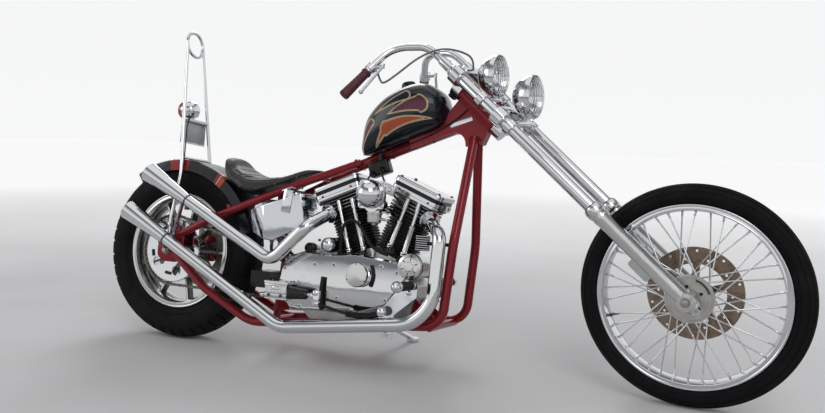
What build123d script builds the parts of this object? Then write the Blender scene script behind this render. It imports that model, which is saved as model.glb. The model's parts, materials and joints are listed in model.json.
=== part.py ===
from build123d import *
import os
from math import acos, atan2, cos, degrees, pi, radians, sin, sqrt

os.makedirs("parts", exist_ok=True)

# Lengths are in millimetres. The machine is drawn upright and straight ahead, X forward, Y to its left,
# with the origin where the rear tyre meets the ground, and is then leaned on its stand by place().

# Stance
wheelbase = 1885
rake = 48.5  # steering axis back from the vertical, degrees
fork_offset = 55.5
parked_lean = 7.85
parked_steer = -10.0  # front wheel turned to the right

# Fits
fit = 0.3  # between pieces that seat on each other
running = 0.5  # between a pin and what turns on it
joint_gap = 1.5  # between turning faces

# Wheels and tyres
front_radius, front_crown, front_tyre_width = 345, 42, 80
rear_radius, rear_crown, rear_tyre_width = 340, 80, 130
front_lip, front_rim_half = front_radius - 62, 31
rear_lip, rear_rim_half = rear_radius - 118, 50
lip_height = 12
rim_wall = 5
front_disc_radius, front_disc_y, disc_thickness = 146, 55, 5
rear_disc_radius, rear_disc_y = 140, 86
sprocket_radius, sprocket_y, sprocket_thickness = 124, -84, 6
front_axle_radius, rear_axle_radius = 8, 9.5

# Fork
leg_half = 95
fork_tube_radius, slider_radius = 20.5, 25.5
lower_clamp_at, upper_clamp_at = 811, 1018  # along the steering axis, above the axle's foot on it
lower_clamp_depth, upper_clamp_depth = 38, 34
slider_top, slider_bottom = 390, -42
stem_radius, neck_radius = 12.7, 26
bar_radius, grip_radius, grip_length = 12.7, 18, 122

# Frame
tube_radius = 16
rail_y = 130
axle_plate_y, axle_plate_thickness = 118, 8

# Engine
crank_x, crank_z = 831, 244
bank_half_angle = 22.5
deck_at, head_at, rocker_at, rocker_top = 158, 292, 372, 426  # out along a cylinder from the crank

# Exhaust
pipe_radius, pipe_y, mouth_radius = 22.5, 172, 38.5


# Basic forms
def vec(x, y, z):
    return Vector(x, y, z)


def rod(start, end, radius, end_radius=None):
    start, end = Vector(*start), Vector(*end)
    length = (end - start).length
    low = (Align.CENTER, Align.CENTER, Align.MIN)
    plane = Plane(start, z_dir=end - start)
    if end_radius is None:
        return plane * Cylinder(radius, length, align=low)
    return plane * Cone(radius, end_radius, length, align=low)


def bent_tube(points, radius, bends):
    path = FilletPolyline(*[Vector(*p) for p in points], radius=bends)
    return sweep(Plane(path @ 0, z_dir=path % 0) * Circle(radius), path=path)


def hollow_rod(start, end, radius, bore):
    start, end = Vector(*start), Vector(*end)
    over = (end - start).normalized() * 5
    return rod(start, end, radius) - rod(start - over, end + over, bore)


def side_plate(outline, y_low, y_high, corner=0):
    # a plate standing in the XZ plane between two widths, its outline given as X and Z
    face = make_face(Polyline(*[(x, z) for x, z in outline], close=True))
    if corner:
        face = fillet(face.vertices(), corner)
    return Plane((0, y_high, 0), x_dir=(1, 0, 0), z_dir=(0, -1, 0)) * extrude(face, y_high - y_low)


def disc(x, z, y_low, y_high, radius):
    return rod((x, y_low, z), (x, y_high, z), radius)


def carve(shape, *others):
    # takes the other pieces out of a shape and keeps its largest solid
    for other in others:
        shape = shape - other
    return max(shape.solids(), key=lambda piece: piece.volume)


def both_sides(shape):
    return shape + mirror(shape, about=Plane.XZ)


def slab(x_low, x_high, y_low, y_high, z_low, z_high):
    size = (x_high - x_low, y_high - y_low, z_high - z_low)
    middle = ((x_high + x_low) / 2, (y_high + y_low) / 2, (z_high + z_low) / 2)
    return Pos(*middle) * Box(*size)


def turned(profile, centre):
    # profile points are radius and width, spun about an axle along Y
    face = make_face(profile)
    return Pos(*centre) * revolve(face, Axis.Y)


# Steering axis, a line in the middle plane
rake_angle = radians(rake)
up_fork = Vector(-sin(rake_angle), 0, cos(rake_angle))
ahead_fork = Vector(cos(rake_angle), 0, sin(rake_angle))
front_axle_centre = Vector(wheelbase, 0, front_radius)
rear_axle_centre = Vector(0, 0, rear_radius)
steer_foot = front_axle_centre - ahead_fork * fork_offset


def on_fork(along, y=0, ahead=0):
    return steer_foot + up_fork * along + ahead_fork * ahead + Vector(0, y, 0)


def on_leg(along, y):
    return on_fork(along, y, fork_offset)


def fork_plane(along):
    # X of the plane points ahead, across the steering axis, and its Y points to the left
    return Plane(on_fork(along), x_dir=ahead_fork, z_dir=up_fork)


# Parking: steer, lean, then pitch and lift so that both tyres touch the ground
steer_plane = Plane(steer_foot, x_dir=ahead_fork, z_dir=up_fork)
steering = steer_plane.location * Rot(0, 0, parked_steer) * steer_plane.location.inverse()
lean = Rot(-parked_lean, 0, 0)


def moved_point(location, point):
    return (location * Pos(*point)).position


def lowest(location, centre, ring, crown):
    middle = moved_point(location, centre)
    side = moved_point(location, Vector(*centre) + Vector(0, 1, 0)) - middle
    return middle.Z - ring * sqrt(1 - side.Z**2) - crown


def tyre_heights(location):
    rear = lowest(location, rear_axle_centre, rear_radius - rear_crown, rear_crown)
    front = lowest(location * steering, front_axle_centre, front_radius - front_crown, front_crown)
    return rear, front


pitch = 0.0
for _ in range(12):
    rear_low, front_low = tyre_heights(Rot(0, pitch, 0) * lean)
    pitch += degrees(atan2(front_low - rear_low, wheelbase))
parked = Pos(0, 0, -tyre_heights(Rot(0, pitch, 0) * lean)[0]) * Rot(0, pitch, 0) * lean


def node(name, shape, steered=False):
    solids = shape.solids() if hasattr(shape, "solids") else ShapeList(shape)
    placed = parked * steering if steered else parked
    moved = [placed * s for s in solids]
    export_step(moved[0] if len(moved) == 1 else Compound(children=moved), f"parts/{name}.step")


def say(name, point, axis, steered=False):
    placed = parked * steering if steered else parked
    at = moved_point(placed, point)
    to = moved_point(placed, Vector(*point) + Vector(*axis).normalized()) - at
    print("POINT", name, *[round(v, 4) for v in (*at, *to)])


# Tyres and wheels
def tyre(centre, radius, crown, width, lip, rim_half):
    ring = radius - crown
    shoulder = radians(50)
    edge_r, edge_y = ring + crown * cos(shoulder), crown * sin(shoulder)
    edge_y = min(edge_y, width / 2 - 2)
    bulge_r = (lip + edge_r) / 2
    seat, inside = lip - lip_height + fit, rim_half - rim_wall - fit
    profile = Curve() + [
        ThreePointArc((edge_r, -edge_y), (radius, 0), (edge_r, edge_y)),
        ThreePointArc((edge_r, edge_y), (bulge_r + 6, width / 2), (lip + 4, inside + 6)),
        Line((lip + 4, inside + 6), (lip + 1, inside)),
        Line((lip + 1, inside), (seat, inside)),
        Line((seat, inside), (seat, -inside)),
        Line((seat, -inside), (lip + 1, -inside)),
        Line((lip + 1, -inside), (lip + 4, -inside - 6)),
        ThreePointArc((lip + 4, -inside - 6), (bulge_r + 6, -width / 2), (edge_r, -edge_y)),
    ]
    return turned(profile, centre)


def rim(lip, rim_half, well):
    seat = lip - lip_height
    points = [
        (well, -rim_half + 16), (seat - rim_wall, -rim_half), (lip, -rim_half), (lip, -rim_half + rim_wall),
        (seat, -rim_half + rim_wall), (seat, rim_half - rim_wall), (lip, rim_half - rim_wall),
        (lip, rim_half),
        (seat - rim_wall, rim_half), (well, rim_half - 16),
    ]
    return revolve(make_face(Polyline(*points, close=True)), Axis.Y)


node("front_tyre", tyre(front_axle_centre, front_radius, front_crown, front_tyre_width, front_lip,
    front_rim_half), True)
node("rear_tyre", tyre(rear_axle_centre, rear_radius, rear_crown, rear_tyre_width, rear_lip, rear_rim_half))

# Wire front wheel: forty crossed spokes between two hub flanges and the rim
front_well, flange_radius, flange_y, spoke_radius = front_lip - 21, 52, 34, 2.2
spoke_count, spoke_cross = 40, 50
hub_half = 44
wire_wheel = rim(front_lip, front_rim_half, front_well)
wire_wheel += (disc(0, 0, -hub_half, hub_half, 26) + disc(0, 0, -flange_y - 3, -flange_y + 3,
    flange_radius + 5))
wire_wheel += disc(0, 0, flange_y - 3, flange_y + 3, flange_radius + 5)
wire_wheel += disc(0, 0, -hub_half - 8, -hub_half, 73)
for index in range(5):
    angle = radians(index * 72 + 30)
    wire_wheel -= disc(39 * cos(angle), 39 * sin(angle), -hub_half - 9, -hub_half - 3, 5)
for index in range(spoke_count):
    side = 1 if index % 2 else -1
    cross = 1 if index % 4 < 2 else -1
    rim_angle = radians(index * 360 / spoke_count)
    hub_angle = rim_angle - radians(cross * spoke_cross)
    inner = (flange_radius * cos(hub_angle), side * flange_y, flange_radius * sin(hub_angle))
    outer = ((front_well + 2) * cos(rim_angle), side * 5, (front_well + 2) * sin(rim_angle))
    wire_wheel += rod(inner, outer, spoke_radius)
wire_wheel -= disc(0, 0, -hub_half - 20, hub_half + 20, front_axle_radius + running)
node("front_wheel_spoked", Pos(*front_axle_centre) * wire_wheel, True)

# Front brake disc with five windows in its carrier
disc_low, disc_high = front_disc_y - disc_thickness / 2, front_disc_y + disc_thickness / 2
brake_disc = disc(0, 0, disc_low, disc_high, front_disc_radius) - disc(0, 0, 0, 90, 94)
brake_disc += disc(0, 0, hub_half + fit, disc_high, 44)
for index in range(5):
    angle = radians(index * 72 + 18)
    arm = rod((40 * cos(angle), front_disc_y, 40 * sin(angle)),
        (98 * cos(angle), front_disc_y, 98 * sin(angle)), 11)
    brake_disc += arm & disc(0, 0, disc_low, disc_high, 120)
drill_count = 20
for index in range(drill_count):
    angle = 2 * pi * index / drill_count
    reach = front_disc_radius - (12 if index % 2 else 36)
    brake_disc -= disc(reach * cos(angle), reach * sin(angle), disc_low - 1, disc_high + 1, 4)
brake_disc -= disc(0, 0, -20, 90, front_axle_radius + running)
node("front_disc", Pos(*front_axle_centre) * brake_disc, True)

# Cast rear wheel
cast_spokes = 9
cast_well = rear_lip - 26
cast = rim(rear_lip, rear_rim_half, cast_well)
cast += disc(0, 0, -62, 62, 46) + disc(0, 0, -80, 80, 34)
for index in range(cast_spokes):
    angle = 360 / cast_spokes * index
    blade = Pos(120, 0, 0) * Box(168, 34, 15)
    blade = fillet(blade.edges().filter_by(Axis.X), 6)
    cast += Rot(0, angle, 0) * blade
cast -= disc(0, 0, -120, 120, rear_axle_radius + running)
node("rear_wheel_cast", Pos(*rear_axle_centre) * cast)

# Final drive on the right
front_sprocket = (541, 262)
front_sprocket_radius = 56
teeth = 48
sprocket_low = sprocket_y - sprocket_thickness / 2
sprocket = disc(0, 0, sprocket_low, sprocket_low + sprocket_thickness, sprocket_radius)
for index in range(teeth):
    angle = 2 * pi * (index + 0.5) / teeth
    reach = sprocket_radius + 1
    sprocket -= disc(reach * cos(angle), reach * sin(angle), sprocket_low - 1, sprocket_low
        + sprocket_thickness + 1, 4.2)
for index in range(5):
    angle = radians(index * 72)
    sprocket -= disc(82 * cos(angle), 82 * sin(angle), sprocket_low - 1, sprocket_low
        + sprocket_thickness + 1, 20)
sprocket -= disc(0, 0, -200, 200, 34 + fit)
sprocket += hollow_rod((0, sprocket_low, 0), (0, -62 - fit, 0), 44, 34 + fit)
node("rear_sprocket", Pos(*rear_axle_centre) * sprocket)

rear_disc = disc(0, 0, rear_disc_y - 3, rear_disc_y + 3, rear_disc_radius) - disc(0, 0, 0, 200, 88)
rear_disc += disc(0, 0, 80 + fit, rear_disc_y + 3, 40)
for index in range(5):
    angle = radians(index * 72 + 18)
    arm = rod((36 * cos(angle), rear_disc_y, 36 * sin(angle)),
        (92 * cos(angle), rear_disc_y, 92 * sin(angle)), 12)
    rear_disc += arm & disc(0, 0, rear_disc_y - 3, rear_disc_y + 3, 120)
rear_disc -= disc(0, 0, 0, 200, rear_axle_radius + running)
node("rear_disc", Pos(*rear_axle_centre) * rear_disc)


def belt_face(rear_centre, rear_r, front_centre, front_r):
    # the stretched outline round two circles, in X and Z
    x0, z0, x1, z1 = *rear_centre, *front_centre
    span = sqrt((x1 - x0) ** 2 + (z1 - z0) ** 2)
    base = atan2(z1 - z0, x1 - x0)
    tip = pi / 2 - atan2(rear_r - front_r, span)
    upper, lower = base + tip, base - tip
    quad = make_face(Polyline(
        (x0 + rear_r * cos(upper), z0 + rear_r * sin(upper)), (x1 + front_r * cos(upper), z1
        + front_r * sin(upper)),
        (x1 + front_r * cos(lower), z1 + front_r * sin(lower)),
        (x0 + rear_r * cos(lower), z0 + rear_r * sin(lower)),
        close=True))
    return quad + Pos(x0, z0) * Circle(rear_r) + Pos(x1, z1) * Circle(front_r)


def side_extrude(face, y_near, depth, taper=0):
    # from the width nearest the middle, outwards to the left for a positive depth
    plane = Plane((0, y_near, 0), x_dir=(1, 0, 0), z_dir=(0, -1, 0))
    return plane * extrude(face, -depth, taper=taper)


chain_gap, chain_height, chain_width = 2.5, 11, 16
chain_inside = sprocket_radius + chain_gap
sprocket_pair = ((0, rear_radius), front_sprocket)
chain_face = belt_face(sprocket_pair[0], chain_inside + chain_height, sprocket_pair[1],
    front_sprocket_radius + chain_height)
chain_face -= belt_face(sprocket_pair[0], chain_inside, sprocket_pair[1], front_sprocket_radius)
chain_plane = Plane((0, sprocket_y + chain_width / 2, 0), x_dir=(1, 0, 0), z_dir=(0, -1, 0))
chain = Pos(0, -(chain_width - 8) / 2, 0) * (chain_plane * extrude(chain_face, 8))
chain_pitch_inner = chain_height / 2
track = belt_face(sprocket_pair[0], chain_inside + chain_pitch_inner, sprocket_pair[1],
    front_sprocket_radius + chain_pitch_inner).face().outer_wire()
link_count = 106
links = []
for index in range(link_count):
    place, way = track @ (index / link_count), track % (index / link_count)
    width = chain_width if index % 2 else chain_width - 4
    plane = Plane((place.X, sprocket_y, place.Y), x_dir=(way.X, 0, way.Y), z_dir=(0, -1, 0))
    links.append(plane * Box(14.2, chain_height, width))
node("drive_chain", chain.fuse(*links))

# Frame
neck_low = lower_clamp_at + lower_clamp_depth / 2 + joint_gap
neck_high = upper_clamp_at - upper_clamp_depth / 2 - joint_gap
stem_hole = rod(on_fork(neck_low - 30), on_fork(neck_high + 30), stem_radius + running)
gusset_half = 24
neck_foot = on_fork(neck_low)
# X and Z from the neck's foot
gusset_places = [(-37, -64), (-95, -74), (-103, -12), (-295, -88), (-305, -51), (-170, 34)]
gusset_outline = ([on_fork(neck_high - 12), on_fork(neck_low + 10)]
    + [neck_foot + vec(x, 0, z) for x, z in gusset_places])
gusset_outline = [(p.X, p.Z) for p in gusset_outline]


def gusset_plate(half):
    face = make_face(Polyline(*gusset_outline, close=True))
    inner_corner = face.vertices().sort_by_distance(gusset_outline[4])[0]
    face = fillet(inner_corner, 40)
    return Plane((0, half, 0), x_dir=(1, 0, 0), z_dir=(0, -1, 0)) * extrude(face, 2 * half)


gusset = gusset_plate(gusset_half)
backbone_front, backbone_rear = tuple(neck_foot + vec(-105, 0, 4)), (722, 0, 698)
neck = (rod(neck_foot, on_fork(neck_high), neck_radius) + gusset
    + rod(backbone_rear, backbone_front, tube_radius + 3))
neck -= stem_hole
node("frame_neck", neck)

downtube_foot = Vector(1136, -128, 300)
downtube_top, downtube_knee = tuple(neck_foot + vec(-65, -24, -42)), (1146, -126, 440)
down_way = (downtube_foot - Vector(*downtube_knee)).normalized()
downtube = bent_tube([downtube_top, downtube_knee, tuple(downtube_foot)], tube_radius, 260)
downtube = carve(downtube, gusset_plate(gusset_half + fit))
frame_downtubes = both_sides(downtube)
node("frame_downtubes", frame_downtubes)

rail_start = downtube_foot + down_way * fit
rail_corner = rail_start + down_way * 125
rail_path = [tuple(rail_start), tuple(rail_corner), (400, -rail_y, 112), (188, -126, 214),
    (40, -axle_plate_y, 330)]
axle_plate_outline = [(-42, 318), (-42, 362), (2, 408), (44, 428), (70, 408), (70, 318), (46, 296),
    (-16, 296)]
rail = bent_tube(rail_path, tube_radius, [70, 150, 150])
axle_plate = side_plate(axle_plate_outline, -axle_plate_y - axle_plate_thickness / 2, -axle_plate_y
    + axle_plate_thickness / 2, 8)
rail += axle_plate
rail -= disc(0, rear_radius, -axle_plate_y - 30, -axle_plate_y + 30, rear_axle_radius + fit)
frame_rails = both_sides(rail)
node("frame_rails", frame_rails)

stay = bent_tube([(40, -117, 396), (200, -112, 478), (480, -88, 598), (742, -21, 710)], tube_radius
    - 1.5, [260, 400])
stay -= side_plate([(x, z) for x, z in axle_plate_outline], -axle_plate_y - 4 - fit, -axle_plate_y + 4 + fit)
stay -= rod(backbone_rear, backbone_front, tube_radius + 3 + fit)
stay -= slab(-200, 1000, -1, 400, 0, 1000)
frame_stays = both_sides(stay)
node("frame_stays", frame_stays)

# Engine
bank_table = (("rear", -1), ("front", 1))  # name, side of the vertical towards which the cylinder leans
cylinders, rocker_boxes = [], []
for name, sign in bank_table:
    angle = sign * bank_half_angle
    bank = Pos(crank_x, 0, crank_z) * Rot(0, angle, 0)
    fins = Pos(0, 0, (deck_at + rocker_at) / 2) * Cylinder(50, rocker_at - deck_at - 2 * fit)
    for index in range(12):
        fins += Pos(0, 0, deck_at + 10 + index * 10.5) * extrude(RectangleRounded(140, 118, 34), 4)
    for index in range(6):
        fins += Pos(0, 0, head_at + 4 + index * 12) * extrude(RectangleRounded(164, 124, 24), 6)
    fins += Pos(0, 0, rocker_at - 8) * extrude(RectangleRounded(168, 150, 16), 8 - fit)
    fins = bank * fins
    half = slab(0, crank_x - 0.5, -300, 300, 0, 900) if sign < 0 else slab(crank_x + 0.5, 1600, -300,
        300, 0, 900)
    fins = fins & half
    cylinders.append(fins)
    node(f"cylinder_{name}", fins)
    box = Pos(0, 0, rocker_at) * extrude(RectangleRounded(184, 166, 18), 16)
    box += Pos(0, 0, rocker_at + 16) * extrude(RectangleRounded(176, 158, 18), 5)
    top = Pos(0, 0, rocker_at + 21) * extrude(RectangleRounded(184, 166, 18), rocker_top - rocker_at - 21)
    top = fillet(top.edges().filter_by(Plane.XY).sort_by(Axis.Z)[-8:], 10)
    box = bank * (box + top)
    half = slab(0, crank_x - 1, -300, 300, 0, 900) if sign < 0 else slab(crank_x + 1, 1600, -300, 300, 0, 900)
    rocker_boxes.append(box & half)
    node(f"rocker_box_{name}", rocker_boxes[-1])

case_half = 58
case_outline = [(566, 170), (600, 140), (905, 136), (985, 190), (1008, 290), (930, 392), (831, 376),
    (730, 392), (650, 392), (594, 366), (566, 290)]
case = side_plate(case_outline, -case_half, case_half, 12)
for name, sign in bank_table:
    bank = Pos(crank_x, 0, crank_z) * Rot(0, sign * bank_half_angle, 0)
    case -= bank * Pos(0, 0, deck_at - fit + 100) * Box(150, 200, 200)
for name, sign in bank_table:
    bank = Pos(crank_x, 0, crank_z) * Rot(0, sign * bank_half_angle, 0)
    half = slab(0, crank_x, -300, 300, 0, 900) if sign < 0 else slab(crank_x, 1600, -300, 300, 0, 900)
    case += (bank * Pos(0, 0, deck_at - 40 - fit) * extrude(RectangleRounded(128, 112, 20), 40)) & half
case += disc(*front_sprocket, -case_half, 40, 36) + disc(*front_sprocket, -90, -case_half, 15)
case += disc(*front_sprocket, sprocket_low, sprocket_low + sprocket_thickness, front_sprocket_radius - fit)
node("crankcase", case)

cover_outline = [(500, 250), (524, 355), (600, 382), (705, 378), (800, 388), (960, 372), (1000, 330),
    (925, 222), (800, 178), (706, 178), (560, 170)]
cover = side_plate(cover_outline, -134, -case_half - fit, 14)
cover = chamfer(cover.faces().sort_by(Axis.Y)[0].edges(), 6)
cover += disc(820, 318, -156, -133, 40)
cover -= disc(541, 262, -108, -case_half + 5, front_sprocket_radius + chain_height + 8)
cover -= side_plate([(300, 150), (541, 190), (541, 334), (300, 420)], -108, -case_half + 5)
node("cam_cover", cover)

primary_face = belt_face((606, 264), 104, (848, 264), 88)
primary = side_extrude(primary_face, case_half + fit, 70)
primary_edge = belt_face((606, 264), 96, (848, 264), 80)
primary += side_extrude(primary_edge, case_half + fit, 78)
node("primary_cover", primary)

generator = disc(1014, 362, -166, 60, 42)
generator -= side_plate([(x, z) for x, z in case_outline], -case_half - 1, case_half + 1)
generator -= side_plate([(x, z) for x, z in cover_outline], -136, -case_half + 1)
generator = carve(generator)
node("generator", generator)

# top X, Z, foot X, Z
tube_table = ((702, 556, 761, 393), (754, 566, 815, 403), (961, 577, 914, 423), (1004, 567, 965, 397))
pushrods = []
for top_x, top_z, foot_x, foot_z in tube_table:
    over = (Vector(top_x, -74, top_z) - Vector(foot_x, -84, foot_z)).normalized() * 60
    tube = (rod(Vector(top_x, -74, top_z) + over, (foot_x, -84, foot_z), 9.5)
        + rod((foot_x, -84, foot_z - 28), (foot_x, -84, foot_z + 14), 14))
    pushrods.append(carve(tube, cover, generator, *cylinders, *rocker_boxes))
node("pushrod_tubes", pushrods)

carburettor = disc(850, 560, -142, -64, 27) + rod((850, -110, 512), (850, -110, 560), 24)
carburettor += rod((850, -66, 560), (838, -8, 552), 19) + rod((770, -8, 550), (900, -8, 550), 16)
node("carburettor", carve(carburettor, *cylinders))
cleaner = side_plate([(806, 545), (902, 545), (902, 641), (806, 641)], -156, -142 - fit, 12)
dome = Pos(854, -156, 593) * (Sphere(46) & Pos(0, -25, 0) * Box(120, 50, 120))
cleaner += disc(854, 593, -172, -156, 45) + Pos(0, -16, 0) * dome
node("air_cleaner", cleaner)


# Exhausts
rear_mouth, front_mouth = vec(-68, -pipe_y, 628), vec(-152, -pipe_y, 482)
cone_length = 200


def exhaust(points, bends, mouth):
    last = Vector(*points[-1])
    along = (last - mouth).normalized()
    shoulder = mouth + along * cone_length
    pipe = bent_tube([*points, tuple(shoulder)], pipe_radius, bends)
    cone = rod(shoulder - along * 0, mouth, pipe_radius, mouth_radius)
    return pipe + cone - rod(mouth + along * 120, mouth - along, pipe_radius, mouth_radius - 3)


rear_pipe = exhaust([(664, -60, 528), (618, -pipe_y + 4, 466), (492, -pipe_y, 337)], [45, 55], rear_mouth)
front_pipe = exhaust([(1024, -46, 524), (1110, -pipe_y + 12, 474), (1103, -pipe_y, 184),
    (545, -pipe_y, 112)], [50, 130, 110], front_mouth)
strap_foot, strap_head = vec(36, -134, 394), vec(84, -154, 540)  # hanger from the right stay to the muffler
strap_way = (strap_head - strap_foot).normalized()
strap = Plane(strap_foot, x_dir=(strap_way.Z, 0, -strap_way.X), z_dir=strap_way) * Box(17, 4,
    (strap_head - strap_foot).length, align=(Align.CENTER, Align.CENTER, Align.MIN))
rear_pipe += carve(strap, frame_stays, frame_rails)
node("exhaust_rear", carve(rear_pipe, *cylinders))
node("exhaust_front", carve(front_pipe, *cylinders))

def section_loft(sections, roundness):
    # sections are X, low Z, high Z and half width
    faces = []
    for x, low, high, half in sections:
        corner = min(half, (high - low) / 2) * roundness
        faces.append(Plane((x, 0, (low + high) / 2), x_dir=(0, 1, 0),
            z_dir=(1, 0, 0)) * RectangleRounded(2 * half, high - low, corner))
    return loft(faces)


# Fuel tank, lofted through upright sections and cut out over the backbone
tank_sections = [(734, 727, 815, 28), (772, 736, 893, 64), (850, 768, 962, 93), (955, 808, 998, 106),
    (1030, 840, 968, 90), (1064, 872, 920, 40)]
tank = section_loft(tank_sections, 0.8)
tank -= rod(vec(700, 0, 689), vec(1200, 0, 890), tube_radius + 3 + 6)
tank -= gusset_plate(gusset_half + 1)
tank = carve(tank)
node("fuel_tank", tank)
node("fuel_cap", carve(rod((904, 0, 960), (896, 0, 1008), 27), tank))

# Seat, oil tank, fender
seat_sections = [(176, 664, 697, 54), (204, 634, 716, 88), (246, 608, 672, 112), (330, 580, 640, 125),
    (440, 606, 641, 108), (530, 643, 673, 66), (592, 665, 684, 36)]
seat = section_loft(seat_sections, 0.75)
node("seat", seat)


# Crossmembers, with the engine's mounting plates and the seat's rests
cross_stay = rod((470, -86, 590), (470, 86, 590), 10)
post = rod((470, 0, 590), (430, 0, 112), 14) + cross_stay + rod((430, -rail_y, 113), (430, rail_y, 113), 13)
cross_front = rod((1085, -rail_y, 166), (1085, rail_y, 166), 13)
cross_tail = rod((372, -108, 551), (372, 108, 551), 8)
cross_nose = rod((590, -70, 645), (590, 70, 645), 7)
post += both_sides(side_plate([(436, 150), (442, 215), (580, 235), (580, 165)], -13, -7))
cross_front += both_sides(side_plate([(960, 200), (980, 262), (1088, 178), (1085, 154)], -46, -40))
cross_tail += both_sides(rod((372, -58, 551), (372, -58, 604), 10))
cross_nose += rod((583, 0, 645), (583, 0, 684), 8)
seat_rest = Pos(0, 0, -fit) * seat
members = []
for piece in (post, cross_front, cross_tail, cross_nose):
    members.append(carve(piece, frame_rails, frame_stays, case, seat_rest + seat))

oil_tank = side_plate([(378, 522), (570, 586), (594, 470), (466, 408), (402, 424)], -136, -20, 12)
oil_tank += slab(358, 392, -98, -70, 500, 545)
node("oil_tank", carve(oil_tank, *members, frame_stays))

fender_inner = rear_radius + 9
fender_profile = Polyline((fender_inner - 40, 76), (fender_inner - 6, 76), (fender_inner, 62),
    (fender_inner, -62), (fender_inner - 6, -76), (fender_inner - 40, -76), (fender_inner - 40, -79),
    (fender_inner - 4, -79), (fender_inner + 3, -63), (fender_inner + 3, 63), (fender_inner - 4, 79),
    (fender_inner - 40, 79), close=True)
fender = Rot(0, -15, 0) * revolve(make_face(fender_profile), Axis.Y, -110)
node("rear_fender", Pos(*rear_axle_centre) * fender)

# Sissy bar
sissy_radius, ring_radius = 7, 48
ring_centre = Vector(-40, 0, 1156)
leg_foot, leg_knee = Vector(12, -axle_plate_y - axle_plate_thickness / 2 - fit - sissy_radius,
    374), Vector(16, -93, 640)
sissy_leg = bent_tube([tuple(leg_foot), tuple(leg_foot + vec(1, 0, 76)), tuple(leg_knee),
    (ring_centre.X, -ring_radius, ring_centre.Z)], sissy_radius, [90, 300])
ring_plane = Plane(ring_centre, x_dir=(0, 1, 0), z_dir=(1, 0, 0.124))
sissy = both_sides(sissy_leg) + ring_plane * Torus(ring_radius, sissy_radius - 0.6)
plate_bar_z = 850
bar_share = (plate_bar_z - leg_knee.Z) / (ring_centre.Z - leg_knee.Z)
bar_x = leg_knee.X + bar_share * (ring_centre.X - leg_knee.X)
bar_y = -leg_knee.Y + bar_share * (ring_radius + leg_knee.Y)
sissy += rod((bar_x, -bar_y, plate_bar_z), (bar_x, bar_y, plate_bar_z), sissy_radius)
fender_outer = fender_inner + 3
fender_bar_x = 14
fender_bar_z = rear_radius + sqrt(fender_outer**2 - fender_bar_x**2) + 5 + fit
sissy += rod((fender_bar_x, -88, fender_bar_z), (fender_bar_x, 88, fender_bar_z), 5)
node("sissy_bar", sissy)
lamp_radius = 36
lamp_z = plate_bar_z + sissy_radius + fit + lamp_radius
lamp_back = bar_x - 50
lamp = Plane((lamp_back, 0, lamp_z), z_dir=(1, 0, 0)) * Cylinder(lamp_radius, 52,
    align=(Align.CENTER, Align.CENTER, Align.MIN))
lens_profile = Curve() + [Line((0, -30), (0, 0)), Line((0, 0), (lamp_radius - 1, 0)),
    Line((lamp_radius - 1, 0), (lamp_radius - 1, -6)),
    ThreePointArc((lamp_radius - 1, -6), (lamp_radius * 0.66, -23), (6, -30)), Line((6, -30), (0, -30))]
lens = Pos(lamp_back - fit, 0, lamp_z) * Rot(0, 0, -90) * revolve(make_face(lens_profile), Axis.Y)
node("tail_lamp", lamp)
node("tail_lens", lens)
plate_x = bar_x - sissy_radius - fit
node("number_plate", slab(plate_x - 3, plate_x, -76, 76, plate_bar_z - 92, plate_bar_z + 4))

# Fork
upper_clamp = (fork_plane(upper_clamp_at - upper_clamp_depth / 2) * extrude(Pos(fork_offset,
    0) * SlotCenterToCenter(2 * leg_half, 62, rotation=90) + Pos(fork_offset / 2,
    0) * Rectangle(fork_offset, 60) + Circle(30), upper_clamp_depth)
     - rod(on_leg(900, leg_half), on_leg(1100, leg_half), fork_tube_radius + fit)
     - rod(on_leg(900, -leg_half), on_leg(1100, -leg_half), fork_tube_radius + fit)
     - rod(on_fork(900), on_fork(1018 + 4), stem_radius + fit))
switch_block = fork_plane(upper_clamp_at - upper_clamp_depth / 2 + 8) * Pos(-31, 0, 0) * Box(
    12, 24, 26, align=(Align.CENTER, Align.CENTER, Align.MIN))
upper_clamp += switch_block
node("upper_clamp", upper_clamp, True)
node("lower_clamp", fork_plane(lower_clamp_at - lower_clamp_depth / 2) * extrude(Pos(fork_offset,
    0) * SlotCenterToCenter(2 * leg_half, 64, rotation=90) + Pos(fork_offset / 2,
    0) * Rectangle(fork_offset, 60) + Circle(30), lower_clamp_depth)
     - rod(on_leg(700, leg_half), on_leg(900, leg_half), fork_tube_radius + fit)
     - rod(on_leg(700, -leg_half), on_leg(900, -leg_half), fork_tube_radius + fit)
     + rod(on_fork(811), on_fork(1018), stem_radius), True)
tube_bottom, tube_top = 210, upper_clamp_at + 24
node("fork_tubes", both_sides(rod(on_leg(tube_bottom, -leg_half), on_leg(tube_top, -leg_half),
    fork_tube_radius)), True)
slider = rod(on_leg(slider_bottom, -leg_half), on_leg(slider_top, -leg_half), slider_radius)
slider += rod(on_leg(slider_top - 16, -leg_half), on_leg(slider_top + 8, -leg_half), slider_radius + 4.5)
slider -= rod(on_leg(tube_bottom, -leg_half), on_leg(slider_top + 20, -leg_half), fork_tube_radius + fit)
slider -= disc(wheelbase, front_radius, -200, 0, front_axle_radius + fit)
slider_left = mirror(slider, about=Plane.XZ)
node("fork_sliders", [carve(slider), carve(slider_left)], True)
axle_rod = (disc(wheelbase, front_radius, -126, 126, front_axle_radius)
    + disc(wheelbase, front_radius, -134, -122, 13) + disc(wheelbase, front_radius, 122, 134, 13))
node("front_axle", axle_rod, True)
bar_start = on_leg(tube_top + fit, -leg_half)
bar = bent_tube([tuple(bar_start), (1012, -leg_half, 1118), (885, -125, 1118), (796, -283, 948)],
    bar_radius, [55, 60])
bar += rod(bar_start, on_leg(tube_top + 80, -leg_half), 16.5)
node("handlebar", both_sides(bar), True)
bar_out = (Vector(796, -283, 948) - Vector(885, -125, 1118)).normalized()
grip_end = Vector(796, -283, 948) + bar_out * 3
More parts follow.
